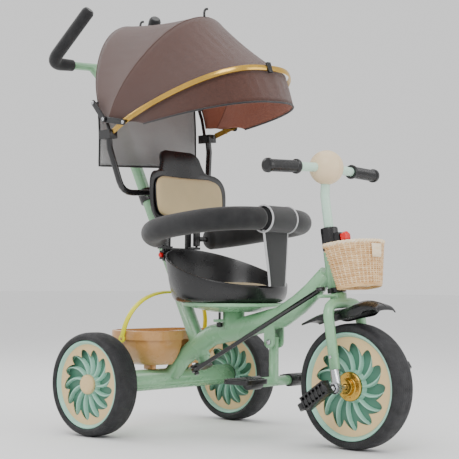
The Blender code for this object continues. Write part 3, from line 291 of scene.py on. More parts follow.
def make_finishes():
    black = srgb(18, 18, 20)
    STATE["mats"] = {
        "frame_green": painted("frame_green", srgb(140, 190, 148)),
        "rim_teal": moulded("rim_teal", srgb(160, 210, 190)),
        # A darker copy of the rim teal: painted shade for the recess between the wheel vanes.
        "rim_painted_shade": moulded("rim_painted_shade", srgb(78, 128, 108), 0.4, 0.6),
        "bar_mint": painted("bar_mint", srgb(196, 231, 211)),
        "ball_beige": moulded("ball_beige", srgb(238, 214, 176), 0.4, 0.52),
        "cap_tan": moulded("cap_tan", srgb(222, 193, 142), 0.4, 0.55),
        "gold_metal": metal("gold_metal", srgb(214, 172, 84), 0.16, 0.3),
        "bright_steel": metal("bright_steel", srgb(196, 198, 202), 0.16, 0.32),
        "tyre_rubber": rubber("tyre_rubber"),
        "black_plastic": moulded("black_plastic", black, 0.22, 0.36),
        "black_paint": painted("black_paint", srgb(26, 26, 28)),
        "black_foam": knitted("black_foam", srgb(20, 20, 22)),
        "black_webbing": weave("black_webbing", srgb(18, 18, 20), srgb(34, 34, 37), 0.0016, 0.6),
        "khaki_pad": leatherette("khaki_pad", srgb(204, 184, 140)),
        "canopy_fabric": weave("canopy_fabric", srgb(124, 66, 46), srgb(184, 112, 86), 0.0013),
        "canopy_lining": weave("canopy_lining", srgb(58, 30, 22), srgb(84, 48, 36), 0.0013),
        "grey_mesh": netting("grey_mesh", srgb(168, 168, 168)),
        "piping": weave("piping", srgb(176, 176, 180), srgb(226, 226, 228), 0.0012),
        "wicker": rattan("wicker", srgb(206, 160, 104), srgb(240, 206, 156)),
        "wicker_light": rattan("wicker_light", srgb(240, 214, 172), srgb(250, 234, 206)),
        "bucket_tan": moulded("bucket_tan", srgb(205, 152, 92), 0.22, 0.34, coat=0.4),
        "bail_yellow": moulded("bail_yellow", srgb(236, 232, 10), 0.3, 0.42),
        "signal_red": moulded("signal_red", srgb(238, 16, 16), 0.22, 0.34),
        "label": moulded("label", srgb(212, 214, 120), 0.36, 0.5),
    }


def finish_of(slot):
    return STATE["mats"][slot]


# Meshes


def new_object(name, bm, slot, matrix=None, smooth=True, angle=38.0):
    mesh = bpy.data.meshes.new(name)
    if matrix:
        bm.transform(matrix)
    bmesh.ops.recalc_face_normals(bm, faces=bm.faces)
    bm.to_mesh(mesh)
    bm.free()
    if smooth:
        mesh.shade_smooth()
        mesh.set_sharp_from_angle(angle=math.radians(angle))
    obj = bpy.data.objects.new(name, mesh)
    bpy.context.scene.collection.objects.link(obj)
    mesh.materials.append(finish_of(slot))
    return obj


def place(obj, body, stands_for=()):
    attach(obj, body)
    if stands_for:
        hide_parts(*stands_for)
    return obj


def metric_uvs(bm, around, along):
    """UVs in metres from two functions of a vertex, unwrapped across the seam."""
    layer = bm.loops.layers.uv.verify()
    for face in bm.faces:
        first = None
        for loop in face.loops:
            u, period = around(loop.vert.co)
            if first is None:
                first = u
            if u - first > period / 2:
                u -= period
            if first - u > period / 2:
                u += period
            loop[layer].uv = (u, along(loop.vert.co))


def revolve(bm, geom, steps):
    bmesh.ops.spin(bm, geom=geom, cent=(0, 0, 0), axis=(0, 0, 1), angle=math.tau, steps=steps,
                   use_merge=True)


def spun(name, profile, slot, matrix=None, steps=96, angle=38.0, closed=True):
    """A body turned about Z from a profile of (radius, z) points."""
    bm = bmesh.new()
    verts = [bm.verts.new((r, 0, z)) for r, z in profile]
    count = len(verts)
    spans = count if closed else count - 1
    edges = [bm.edges.new((verts[i], verts[(i + 1) % count])) for i in range(spans)]
    revolve(bm, verts + edges, steps)
    weld(bm)
    radius = max(r for r, z in profile)
    metric_uvs(bm, lambda co: (math.atan2(co.y, co.x) * radius, math.tau * radius),
               lambda co: co.z + math.hypot(co.x, co.y))
    return new_object(name, bm, slot, matrix, angle=angle)


def rounded_profile(points, radius, steps=4):
    """A closed profile with its corners rounded."""
    out = []
    count = len(points)
    for i in range(count):
        before, corner, after = (Vector(points[(i + k) % count]) for k in (-1, 0, 1))
        to_before, to_after = before - corner, after - corner
        reach = min(radius, to_before.length * 0.45, to_after.length * 0.45)
        start = corner + to_before.normalized() * reach
        end = corner + to_after.normalized() * reach
        for k in range(steps + 1):
            t = k / steps
            point = start * (1 - t) ** 2 + corner * 2 * t * (1 - t) + end * t * t
            out.append((max(point.x, 0.0), point.y))
    return out


def weld(bm):
    bmesh.ops.remove_doubles(bm, verts=bm.verts, dist=1e-6)


def fill_holes(bm):
    bmesh.ops.holes_fill(bm, edges=[e for e in bm.edges if e.is_boundary], sides=0)


def sheet_mesh(rows):
    """A grid through rows of points, with UVs in metres."""
    bm = bmesh.new()
    down, across = len(rows) - 1, len(rows[0]) - 1
    bmesh.ops.create_grid(bm, x_segments=across, y_segments=down, size=1.0)
    widths = [0.0]
    middle = rows[len(rows) // 2]
    for i in range(across):
        widths.append(widths[-1] + (Vector(middle[i + 1]) - Vector(middle[i])).length)
    depths = [0.0]
    for j in range(down):
        below, above = (Vector(rows[k][across // 2]) for k in (j, j + 1))
        depths.append(depths[-1] + (above - below).length)
    layer = bm.loops.layers.uv.verify()
    cells = {v: (round((v.co.x + 1) / 2 * across), round((v.co.y + 1) / 2 * down)) for v in bm.verts}
    for face in bm.faces:
        for loop in face.loops:
            i, j = cells[loop.vert]
            loop[layer].uv = (widths[i], depths[j])
    for v, (i, j) in cells.items():
        v.co = rows[j][i]
    return bm


def thicken(obj, thickness, offset=0.0, rim=True):
    wall = obj.modifiers.new("wall", "SOLIDIFY")
    wall.thickness = thickness
    wall.offset = offset
    wall.use_rim = rim
    return wall


def bake(obj):
    """Applies the modifiers, so that what follows bends the final mesh."""
    graph = bpy.context.evaluated_depsgraph_get()
    mesh = bpy.data.meshes.new_from_object(obj.evaluated_get(graph))
    obj.modifiers.clear()
    obj.data = mesh
    return obj


def tube(name, path, radius, slot, matrix=None, sides=6, cyclic=False, radii=None):
    """A swept tube with rounded caps, as a mesh."""
    data = bpy.data.curves.new(name, "CURVE")
    data.dimensions = "3D"
    data.bevel_depth = radius
    data.bevel_resolution = sides
    data.use_fill_caps = not cyclic
    spline = data.splines.new("POLY")
    spline.points.add(len(path) - 1)
    for i, point in enumerate(path):
        spline.points[i].co = (*point, 1)
        spline.points[i].radius = radii[i] if radii else 1.0
    spline.use_cyclic_u = cyclic
    carrier = bpy.data.objects.new(name + "_line", data)
    bpy.context.scene.collection.objects.link(carrier)
    bpy.context.view_layer.update()
    mesh = bpy.data.meshes.new_from_object(carrier.evaluated_get(bpy.context.evaluated_depsgraph_get()))
    bpy.data.objects.remove(carrier)
    bm = bmesh.new()
    bm.from_mesh(mesh)
    weld(bm)
    bpy.data.meshes.remove(mesh)
    return new_object(name, bm, slot, matrix)


def joined(name, objects):
    """Several finished objects as one, keeping each one's finish."""
    bm = bmesh.new()
    mats = []
    for obj in objects:
        first = len(bm.faces)
        bm.from_mesh(obj.data)
        bm.faces.ensure_lookup_table()
        mat = obj.data.materials[0]
        if mat not in mats:
            mats.append(mat)
        for face in bm.faces[first:]:
            face.material_index = mats.index(mat)
    mesh = bpy.data.meshes.new(name)
    bm.to_mesh(mesh)
    bm.free()
    mesh.shade_smooth()
    mesh.set_sharp_from_angle(angle=math.radians(38))
    made = bpy.data.objects.new(name, mesh)
    bpy.context.scene.collection.objects.link(made)
    for mat in mats:
        mesh.materials.append(mat)
    for obj in objects:
        bpy.data.objects.remove(obj)
    return made


def block(name, size, slot, matrix, bevel=0.001):
    bm = bmesh.new()
    bmesh.ops.create_cube(bm, size=1.0)
    bmesh.ops.scale(bm, vec=size, verts=bm.verts)
    if bevel:
        bmesh.ops.bevel(bm, geom=bm.edges[:], offset=bevel, segments=3, profile=0.5, affect="EDGES",
                        material=-1)
    return new_object(name, bm, slot, matrix)


def looking(direction):
    """A matrix whose Z points along a direction."""
    return Vector(direction).to_track_quat("Z", "Y").to_matrix().to_4x4()


def smooth_path(points, steps=8, cyclic=False):
    """A Catmull-Rom curve through the points."""
    points = [Vector(p) for p in points]
    count = len(points)
    out = []
    for i in range(count if cyclic else count - 1):
        if cyclic:
            a, b, c, d = (points[(i + k) % count] for k in (-1, 0, 1, 2))
        else:
            a, b, c, d = (points[min(max(i + k, 0), count - 1)] for k in (-1, 0, 1, 2))
        for k in range(steps):
            t = k / steps
            out.append(0.5 * (2 * b + (c - a) * t + (2 * a - 5 * b + 4 * c - d) * t**2
                              + (3 * b - a - 3 * c + d) * t**3))
    if not cyclic:
        out.append(points[-1])
    return out


def rounded_path(points, radius, steps=10):
    points = [Vector(p) for p in points]
    path = [points[0]]
    for before, corner, after in zip(points, points[1:], points[2:]):
        to_before, to_after = (before - corner).normalized(), (after - corner).normalized()
        half = to_before.angle(to_after) / 2
        reach = min(radius / math.tan(half), (before - corner).length * 0.49,
                    (after - corner).length * 0.49)
        start, end = corner + to_before * reach, corner + to_after * reach
        for i in range(steps + 1):
            t = i / steps
            path.append(start * (1 - t) ** 2 + corner * 2 * t * (1 - t) + end * t**2)
    path.append(points[-1])
    return path


def show_solid(node, slot, bevel=0.0):
    """Shows a frame node as a piece of its own: welded, smoothly shaded and softened at its edges."""
    source = STATE["frame"]["nodes"][node]
    bm = bmesh.new()
    bm.from_mesh(source.data)
    weld(bm)
    obj = new_object(node + "_skin", bm, slot, angle=32.0)
    if bevel:
        edge = obj.modifiers.new("edge", "BEVEL")
        edge.width = bevel
        edge.segments = 2
        edge.limit_method = "ANGLE"
        edge.angle_limit = math.radians(40)
    return place(obj, source["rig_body"], [node])


def rivet(name, point, direction, radius, slot, body):
    """A low domed head with a small recess."""
    profile = [(0, 0.0), (radius, 0.0), (radius, radius * 0.25), (radius * 0.8, radius * 0.5),
               (radius * 0.4, radius * 0.62), (0, radius * 0.62)]
    made = spun(name, rounded_profile(profile, radius * 0.1, 2), slot,
                Matrix.Translation(point) @ looking(direction), steps=24)
    return place(made, body)


# Wheels

TOOTH_LEAN = 0.13


def vane_mesh(count, hub, tip, sweep, height, half_depth):
    """Curved blades that sweep from the hub to the rim, each with a thin rounded back."""
    bm = bmesh.new()
    for k in range(count):
        base = math.tau * k / count
        spine = []
        for i in range(13):
            t = i / 12
            r = hub + (tip - hub) * t
            spine.append((r, base + sweep * t ** 1.7))
        rows = []
        for level, share in ((-half_depth, 1.0), (0.0, 1.0), (height * 0.8, 0.72), (height, 0.3),
                             (height, -0.3), (height * 0.8, -0.72), (0.0, -1.0), (-half_depth, -1.0)):
            row = []
            for r, a in spine:
                t = (r - hub) / (tip - hub)
                width = (0.0021 + 0.0022 * math.sin(math.pi * min(1.0, t * 0.9 + 0.08))) / r
                row.append(Vector((r * math.cos(a + share * width), r * math.sin(a + share * width),
                                   level)))
            rows.append(row)
        part = sheet_mesh(rows)
        mesh = bpy.data.meshes.new("vane")
        part.to_mesh(mesh)
        part.free()
        bm.from_mesh(mesh)
        bpy.data.meshes.remove(mesh)
    return bm


def toothed_ring(outer, inner, tip, count, z, sweep, thickness=0.0016):
    """A flat ring whose inner edge carries pointed teeth that lean with the vanes."""
    outside, inside = [], []
    steps = 12
    for k in range(count * steps):
        t = (k % steps) / steps
        angle = math.tau * k / (count * steps)
        tooth = max(0.0, 1 - abs(t - 0.5) * 2) ** 1.6
        radius = inner + (tip - inner) * tooth
        lean = sweep * tooth
        outside.append(Vector((outer * math.cos(angle), outer * math.sin(angle), z)))
        inside.append(Vector((radius * math.cos(angle - lean), radius * math.sin(angle - lean), z)))
    outside.append(outside[0])
    inside.append(inside[0])
    bm = sheet_mesh([outside, inside])
    bmesh.ops.remove_doubles(bm, verts=bm.verts, dist=1e-7)
    bmesh.ops.recalc_face_normals(bm, faces=bm.faces)
    made = bmesh.ops.extrude_face_region(bm, geom=bm.faces[:])
    moved = [g for g in made["geom"] if isinstance(g, bmesh.types.BMVert)]
    bmesh.ops.translate(bm, vec=(0, 0, thickness), verts=moved)
    return bm


def build_tyre(name, radius, rim_radius, matrix, body):
    profile = [
        (rim_radius + 0.0004, -0.0262), (rim_radius + 0.0004, 0.0262), (rim_radius + 0.0035, 0.0285),
        (radius - 0.01, 0.0298), (radius - 0.004, 0.0262), (radius - 0.0012, 0.019),
        (radius - 0.0001, 0.012),
        (radius, 0.005), (radius, -0.005), (radius - 0.0001, -0.012), (radius - 0.0012, -0.019),
        (radius - 0.004, -0.0262), (radius - 0.01, -0.0298), (rim_radius + 0.0035, -0.0285),
    ]
    shown = rounded_profile(profile, 0.0022, 3)
    tyre = spun(name + "_moulded", shown, "tyre_rubber", matrix @ TO_X, 120)
    place(tyre, body, [name])


def build_disc(name, rim, hub, matrix, body):
    """A wheel disc: flanged rim, recessed web carrying a ring of painted shade, swept vanes and a
    toothed ring on each face.
    """
    s = STATE["settings"]
    web = 0.0052
    profile = [
        (rim, 0.0252), (rim, -0.0252), (rim - 0.0035, -0.0256), (rim - 0.0085, -0.018),
        (rim - 0.01, -web),
        (hub + 0.004, -web), (hub, -0.015), (0.0085, -0.015), (0.0085, 0.015), (hub, 0.015),
        (hub + 0.004, web), (rim - 0.01, web), (rim - 0.0085, 0.018), (rim - 0.0035, 0.0256),
    ]
    pieces = [spun(name + "_body", rounded_profile(profile, 0.0014, 3), "rim_teal", None, 128)]
    scale = rim / 0.1094
    for side in (1, -1):
        flip = Matrix.Diagonal((1, 1, side, 1))
        # Thin darker-teal ring laid on the web between the vanes: painted shade in the recess, not a
        # colour of the disc.
        recess = spun("recess", [(hub + 0.006, web + 0.0003), (0.09 * scale, web + 0.0003),
                                 (0.09 * scale, web - 0.001), (hub + 0.006, web - 0.001)], "rim_painted_shade",
                                 flip, 96)
        pieces.append(recess)
        vanes = vane_mesh(s.vanes, hub * 0.75, 0.092 * scale, math.radians(s.sweep), 0.015, -0.003)
        pieces.append(new_object("vanes", vanes, "rim_teal", flip))
        ring = toothed_ring(0.1002 * scale, 0.0885 * scale, 0.07 * scale, s.vanes, 0.0168, -TOOTH_LEAN)
        pieces.append(new_object("toothed", ring, "cap_tan", flip, smooth=False))
        band = [(0.104 * scale, 0.0172), (0.1002 * scale, 0.0178), (0.1002 * scale, 0.012),
                (0.104 * scale, 0.012)]
        pieces.append(spun("rim_band", band, "rim_teal", flip, 128))
    disc = joined(name + "_moulded", pieces)
    disc.data.transform(matrix @ TO_X)
    place(disc, body, [name])


def build_wheels():
    for side, sign in SIDES:
        body = "rear_wheel_" + side
        matrix = Matrix.Translation((sign * 0.23, 0.19, 0.112))
        build_tyre("rear_tyre_" + side, 0.112, 0.0948, matrix, body)
        build_disc("rear_rim_" + side, 0.0948, 0.02, matrix, body)
        cap = rounded_profile([(0, 0.0262 * sign), (0.0165, 0.0262 * sign), (0.0215, 0.0215 * sign),
                               (0.0215, 0.0145 * sign), (0, 0.0145 * sign)], 0.0025, 4)
        made = spun(f"rear_cap_{side}_moulded", cap, "cap_tan", matrix @ TO_X, 64)
        place(made, body, ["rear_cap_" + side])
    matrix = STEERING @ Matrix.Translation(AXLE)
    build_tyre("front_tyre", 0.127, 0.1094, matrix, "front_wheel")
    build_disc("front_rim", 0.1094, 0.028, matrix, "front_wheel")
    pieces = []
    for side in (1, -1):
        flip = Matrix.Diagonal((1, 1, side, 1))
        flange = [(0.0062, 0.0158), (0.03, 0.0158), (0.03, 0.0205), (0.0275, 0.0222), (0.018, 0.023),
                  (0.0165, 0.026), (0.016, 0.0335), (0.0062, 0.034)]
        pieces.append(spun("flange", rounded_profile(flange, 0.001, 3), "gold_metal", flip, 72))
        for k in range(6):
            angle = math.tau * k / 6
            spot = Matrix.Translation((0.0232 * math.cos(angle), 0.0232 * math.sin(angle), 0.0222))
            head = spun("bolt", [(0, 0), (0.0024, 0), (0.0024, 0.001), (0.0016, 0.0016), (0, 0.0016)],
                        "gold_metal", flip @ spot, 16)
            pieces.append(head)
    hub = joined("front_hub_turned", pieces)
    hub.data.transform(matrix @ TO_X)
    place(hub, "front_wheel", ["front_hub"])


# Canopy

BAND = (0.1603, 0.3757, 2.7, 18.0)
SEAM = (0.179, 0.3086, 1.97, 56.0)
BACK = (0.169, 0.2889, 1.96, 109.0)
HEM = (0.157, 0.39, 2.54, 6.5)
RIB_END = 0.93
HEM_END = 0.84


def rib_point(shape, share):
    """A point on a canopy rib in the canopy's frame; share runs from -1, right, to 1, left."""
    half_width, reach, power, elevation = shape
    angle = share * math.pi / 2
    x = half_width * math.copysign(abs(math.sin(angle)) ** (2 / power), angle)
    out = reach * abs(math.cos(angle)) ** (2 / power)
    x *= 1 - 0.12 * max(0.0, 1 - out / 0.16) ** 2
    lift = math.radians(elevation)
    return Vector((x, -out * math.cos(lift), out * math.sin(lift)))


def between_ribs(first, second, share, ends, count, sag):
    """A row of cloth between two ribs; it hangs in a little between them and puckers near its seams."""
    row = []
    for i in range(count + 1):
        s = ends * (-1 + 2 * i / count)
        point = rib_point(first, s).lerp(rib_point(second, s), share)
        middle = math.exp(-((share - 0.5) / 0.42) ** 2) * abs(math.sin(math.pi * share))
        pucker = 0.0022 * math.sin(i * 1.9) * middle
        fall = 1 - sag * math.sin(math.pi * share) + pucker
        row.append(CANOPY @ Vector((point.x * (1 - 0.4 * (1 - fall)), point.y * fall, point.z * fall)))
    return row


def build_canopy():
    sag = STATE["settings"].canopy_sag / 0.3
    count = 84
    rows = []
    for first, second, steps, ends in ((BACK, SEAM, 14, (RIB_END, RIB_END)),
                                       (SEAM, BAND, 14, (RIB_END, RIB_END)),
                                       (BAND, HEM, 7, (RIB_END, HEM_END))):
        for k in range(steps):
            t = k / steps
            rows.append(between_ribs(first, second, t, ends[0] + (ends[1] - ends[0]) * t, count,
                                     sag if second != HEM else 0.0))
    rows.append(between_ribs(BAND, HEM, 1.0, HEM_END, count, 0.0))
    cloth = new_object("canopy_cloth", sheet_mesh(rows), "canopy_fabric", angle=60)
    wall = thicken(cloth, 0.0016)
    cloth.data.materials.append(finish_of("canopy_lining"))
    wall.material_offset = 1
    bake(cloth)
    start = CANOPY @ rib_point(SEAM, 0.0)
    end = CANOPY @ rib_point(BAND, 0.0)
    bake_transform(cloth)
    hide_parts("canopy_rear", "canopy_front_fabric")

    outline = []
    for i in range(73):
        s = 0.985 * (-1 + i / 36)
        outline.append(CANOPY @ rib_point((BAND[0] + 0.009, BAND[1] + 0.009, *BAND[2:]), s))
    up = (CANOPY.to_3x3() @ Vector((0, math.sin(math.radians(18)),
                                    math.cos(math.radians(18))))).normalized()
    section = ((-0.0065, -0.0011), (-0.0058, 0.0009), (-0.002, 0.0019), (0.002, 0.0019),
               (0.0058, 0.0009), (0.0065, -0.0011), (0.0, -0.0011))
    rows = []
    center = CANOPY.translation
    for along, out in (*section, section[0]):
        row = []
        for i, point in enumerate(outline):
            heading = (outline[min(i + 1, 72)] - outline[max(i - 1, 0)]).normalized()
            outward = heading.cross(up).normalized()
            if outward.dot(point - center) < 0:
                outward.negate()
            row.append(point + up * along + outward * out)
        rows.append(row)
    band = sheet_mesh(rows)
    weld(band)
    bmesh.ops.holes_fill(band, edges=band.edges[:], sides=0)
    made = new_object("canopy_band_pressed", band, "gold_metal", angle=50)
    place(made, "canopy_front", ["canopy_band"])

    hem = between_ribs(BAND, HEM, 1.0, HEM_END, 96, 0.0)
    place(tube("canopy_hem_binding", hem, 0.0019, "black_webbing", sides=3), "canopy_front")
    for name, shape, body in (("canopy_seam_piping", SEAM, "push_bar"),
                              ("canopy_rear_binding", BACK, "push_bar")):
        line = [CANOPY @ rib_point(shape, RIB_END * (-1 + i / 36)) for i in range(73)]
        place(tube(name, line, 0.0015, "canopy_lining", sides=3), body)
    for side, sign in SIDES:
        for k in range(3):
            base = rib_point((BAND[0] + 0.0095, BAND[1] + 0.0095, *BAND[2:]), sign * (0.9 + 0.025 * k))
            clip = block(f"band_pleat_{side}_{k}", (0.002, 0.0032, 0.015), "gold_metal",
                         Matrix.Translation(CANOPY @ base) @ CANOPY.to_3x3().to_4x4(), 0.0006)
            place(clip, "canopy_front")
    clip_at = CANOPY @ rib_point((BAND[0] + 0.011, BAND[1] + 0.011, *BAND[2:]), 0.0)
    clip = block("band_clip", (0.012, 0.006, 0.024), "black_plastic",
                 Matrix.Translation(clip_at) @ CANOPY.to_3x3().to_4x4() @ turn_x(-math.radians(18)),
                 0.0014)
    place(clip, "canopy_front")
    hooks = ((SEAM, -0.02, "push_bar"), (BACK, 0.1, "push_bar"))
    for k, (shape, share, body) in enumerate(hooks):
        foot = CANOPY @ (rib_point(shape, share) * 1.001)
        lift = CANOPY.to_3x3() @ Vector((0, 0, 1))
        lean = CANOPY.to_3x3() @ Vector((1, -0.15, 0))
        path = smooth_path([foot, foot + lift * 0.01, foot + lift * 0.017 + lean * 0.003,
                            foot + lift * 0.019 + lean * 0.009], 5)
        place(tube(f"canopy_hook_{k}", path, 0.0028, "black_plastic", sides=4), body)


def build_mesh_panel():
    rows = []
    levels = 16
    for j in range(levels + 1):
        z = -0.066 + 0.154 * j / levels
        row = []
        for i in range(41):
            x = -0.146 + 0.292 * i / 40
            belly = 0.0085 * math.sin(math.pi * min(1.0, max(0.0, (z + 0.066) / 0.16)))
            drape = 0.0016 * math.sin(x * 60 + z * 30) * (1 - j / levels)
            row.append(CANOPY @ Vector((x, 0.042 - belly * math.cos(x * 9) + drape, z)))
        rows.append(row)
    bm = sheet_mesh(rows)
    panel = new_object("mesh_panel_cloth", bm, "grey_mesh", angle=60)
    thicken(panel, 0.0009)
    bake(panel)
    place(panel, "push_bar", ["mesh_panel"])
    border = rows[0] + [r[-1] for r in rows[1:]] + rows[-1][-2::-1] + [r[0] for r in rows[-2:0:-1]]
    place(tube("mesh_panel_binding", border, 0.0022, "black_webbing", sides=3, cyclic=True), "push_bar")


# Seat


def seat_ring(radius, z, rear_radius=None, rear_z=None, sides=96):
    ring = []
    for i in range(sides + 1):
        angle = math.tau * i / sides
        rear = max(0.0, (1 + math.sin(angle)) / 2) ** 1.5
        r = radius + ((rear_radius or radius) - radius) * rear
        height = z + ((rear_z or z) - z) * rear
        ring.append(Vector((1.14 * r * math.cos(angle), 0.013 + r * math.sin(angle), height)))
    return ring


def closed_loft(name, rings, slot, matrix, angle=50):
    bm = sheet_mesh(rings)
    weld(bm)
    fill_holes(bm)
    return new_object(name, bm, slot, matrix, angle=angle)


def profile_rings(levels, steps=5):
    """Rings through the levels, eased between them."""
    rings = []
    columns = list(zip(*[seat_ring(*level) for level in levels]))
    paths = [smooth_path(column, steps) for column in columns]
    for k in range(len(paths[0])):
        rings.append([path[k] for path in paths])
    return rings


def build_seat_shell():
    levels = [
        (0.1, 0.2906), (0.109, 0.2925), (0.116, 0.2985), (0.12, 0.309, 0.12),
        (0.1212, 0.32, 0.128, 0.345), (0.1206, 0.3255, 0.1375, 0.404), (0.119, 0.3282, 0.1385, 0.409),
        (0.1165, 0.3282, 0.1355, 0.409),
        (0.115, 0.3255, 0.1335, 0.404), (0.112, 0.316, 0.122, 0.345), (0.108, 0.31, 0.11),
        (0.096, 0.3045),
    ]
    shell = closed_loft("seat_shell_moulded", profile_rings(levels), "black_plastic", SEAT)
    place(shell, "seat", ["seat_shell"])
    crown = [(0.086, 0.3058), (0.0895, 0.3078), (0.0902, 0.314), (0.0885, 0.3205), (0.081, 0.3268),
             (0.064, 0.3318), (0.036, 0.3345), (0.008, 0.335)]
    pad = closed_loft("seat_cushion", profile_rings(crown), "khaki_pad", SEAT)
    place(pad, "seat", ["seat_pad"])
    place(tube("seat_cushion_piping", seat_ring(0.0897, 0.3085)[:-1], 0.0015, "khaki_pad", SEAT, 3,
               True), "seat")


BACK_LEVELS = [
    (0.4705, 0.088, 0.16), (0.482, 0.108, 0.16), (0.5, 0.12, 0.161), (0.53, 0.1235, 0.163),
    (0.556, 0.122, 0.165), (0.574, 0.113, 0.167), (0.584, 0.098, 0.169), (0.589, 0.076, 0.17),
    (0.606, 0.067, 0.173), (0.622, 0.063, 0.177), (0.632, 0.054, 0.18), (0.637, 0.04, 0.181),
]
PAD_LEVELS = [
    (0.482, 0.07, 0.16), (0.489, 0.098, 0.16), (0.505, 0.108, 0.161), (0.53, 0.1105, 0.163),
    (0.552, 0.108, 0.165), (0.566, 0.098, 0.166), (0.574, 0.075, 0.167),
]


def back_rows(levels, forward, across=32, steps=4):
    dense = smooth_path([Vector(level) for level in levels], steps)
    rows = []
    for z, half, y in dense:
        row = []
        for i in range(across + 1):
            share = -1 + 2 * i / across
            row.append(Vector((half * share, y - forward - 0.022 * (half * share / 0.12) ** 2, z)))
        rows.append(row)
    return rows


def pillow(rows, thickness, edge=0.0022):
    """Rows of a flat pad with a crowned front: the front bulges, and the back stays flat."""
    down, across = len(rows) - 1, len(rows[0]) - 1
    out = []
    for j, row in enumerate(rows):
        line = []
        for i, point in enumerate(row):
            u, v = abs(2 * i / across - 1), abs(2 * j / down - 1)
            crown = (max(0.0, 1 - u**4) * max(0.0, 1 - v**4)) ** 0.5
            line.append(point + Vector((0, -(edge + (thickness - edge) * crown), 0)))
        out.append(line)
    return out


def sandwich(name, front, back, slot, matrix, angle=50.0):
    """A closed piece between a front and a back grid."""
    bm = sheet_mesh(front)
    mesh = bpy.data.meshes.new("side")
    other = sheet_mesh(back)
    other.to_mesh(mesh)
    other.free()
    bm.from_mesh(mesh)
    bpy.data.meshes.remove(mesh)
    bmesh.ops.bridge_loops(bm, edges=[e for e in bm.edges if e.is_boundary])
    return new_object(name, bm, slot, matrix, angle=angle)


def build_backrest():
    flat = back_rows(BACK_LEVELS, 0.0)
    front = pillow(flat, 0.0062, 0.003)
    back = [[p + Vector((0, 0.006 - 0.003 * (abs(2 * i / 32 - 1) ** 6), 0)) for i, p in enumerate(row)]
            for row in flat]
    shell = sandwich("backrest_moulded", front, back, "black_plastic", SEAT)
    place(shell, "seat", ["backrest"])
    flat = back_rows(PAD_LEVELS, 0.0068)
    pad = sandwich("backrest_cushion", pillow(flat, 0.012, 0.0018), flat, "khaki_pad", SEAT)
    place(pad, "seat", ["backrest_pad"])
    rim = flat[0] + [r[-1] for r in flat[1:]] + flat[-1][-2::-1] + [r[0] for r in flat[-2:0:-1]]
    rim = [p + Vector((0, -0.0012, 0)) for p in rim]
    place(tube("backrest_cushion_piping", rim, 0.0017, "black_plastic", SEAT, 3, True), "seat")


def guard_point(angle):
    half_x, half_y, middle, power = 0.155, 0.14, 0.022, 3.0
    x = half_x * math.copysign(abs(math.cos(angle)) ** (2 / power), math.cos(angle))
    y = middle + half_y * math.copysign(abs(math.sin(angle)) ** (2 / power), math.sin(angle))
    rise = max(0.0, (middle + half_y - y) / (2 * half_y)) ** 0.6
    return Vector((x, y, 0.431 + 0.04 * rise))


def build_guard():
    s = STATE["settings"]
    for side, sign in SIDES:
        body = "guard_" + side
        start, end = (69, -98.4) if sign > 0 else (111, 261.3)
        raw = [guard_point(math.radians(start + (end - start) * k / 160)) for k in range(161)]
        path = smooth_path(raw[::4], 4)
        lengths = [0.0]
        for a, b in zip(path, path[1:]):
            lengths.append(lengths[-1] + (b - a).length)
        radii = []
        for run in lengths:
            near = min(run, lengths[-1] - run)
            radii.append(0.62 + 0.38 * min(1.0, near / 0.01) ** 0.5)
        sleeve = tube(f"guard_{side}_sleeve", path, s.guard_radius, "black_foam", SEAT, 12, radii=radii)
        hinge = Vector((sign * 0.055, 0.166, 0))
        arm = tube("arm", [hinge + Vector((0, 0, path[0].z)), path[0], path[1]], 0.006, "black_paint",
                   SEAT, 5)
        eye = [(0.0033, 0.418), (0.0085, 0.418), (0.0085, 0.45), (0.0033, 0.45)]
        eye = spun("eye", rounded_profile(eye, 0.0008, 2), "black_paint",
                   SEAT @ Matrix.Translation(hinge), 40)
        whole = joined(f"guard_{side}_padded", [sleeve, arm, eye])
        place(whole, body, ["guard_" + side])
    build_strap()


def build_strap():
    """The crotch strap: a wide wrap round the ring and a tapering web, edged with light piping."""
    rows = []
    edges = {0: [], 28: []}
    path = [(-0.118, 0.447, 0.08), (-0.1205, 0.4052, 0.07), (-0.1226, 0.3622, 0.058),
            (-0.1236, 0.327, 0.05)]
    dense = smooth_path([Vector(p) for p in path], 10)
    for y, z, width in dense:
        row = []
        for i in range(29):
            share = -1 + i / 14
            row.append(Vector((share * width / 2, y - 0.0012 * (1 - share**4), z)))
        rows.append(row)
        for key in edges:
            edges[key].append(row[key])
    web = new_object("web", sheet_mesh(rows), "black_webbing", SEAT, angle=60)
    thicken(web, 0.0034)
    bake(web)
    rings = []
    outline = [guard_point(math.radians(a)) for a in (-82.4, -86.2, -90.0, -93.8, -97.6)]
    spine = smooth_path(outline, 5)
    wraps = {0: [], len(spine) - 1: []}
    for k, point in enumerate(spine):
        heading = (spine[min(k + 1, len(spine) - 1)] - spine[max(k - 1, 0)]).normalized()
        across = heading.cross(Vector((0, 0, 1))).normalized()
        up = across.cross(heading).normalized()
        ring = []
        for i in range(49):
            angle = math.tau * i / 48
            ring.append(point + (across * math.cos(angle) + up * math.sin(angle)) * 0.027)
        rings.append(ring)
        if k in wraps:
            wraps[k] = ring[:-1]
    wrap = sheet_mesh(rings)
    weld(wrap)
    wrap = new_object("wrap", wrap, "black_webbing", SEAT, angle=60)
    thicken(wrap, 0.0016, 1.0)
    bake(wrap)
    strap = joined("crotch_strap_sewn", [web, wrap])
    place(strap, "guard_left", ["crotch_strap"])
    for key, line in edges.items():
        place(tube(f"strap_piping_{key}", line, 0.0026, "piping", SEAT, 3), "guard_left")
    for key, ring in wraps.items():
        lifted = [p + (p - spine[key]).normalized() * 0.0014 for p in ring]
        place(tube(f"wrap_piping_{key}", lifted, 0.0022, "piping", SEAT, 3, True), "guard_left")


# Basket


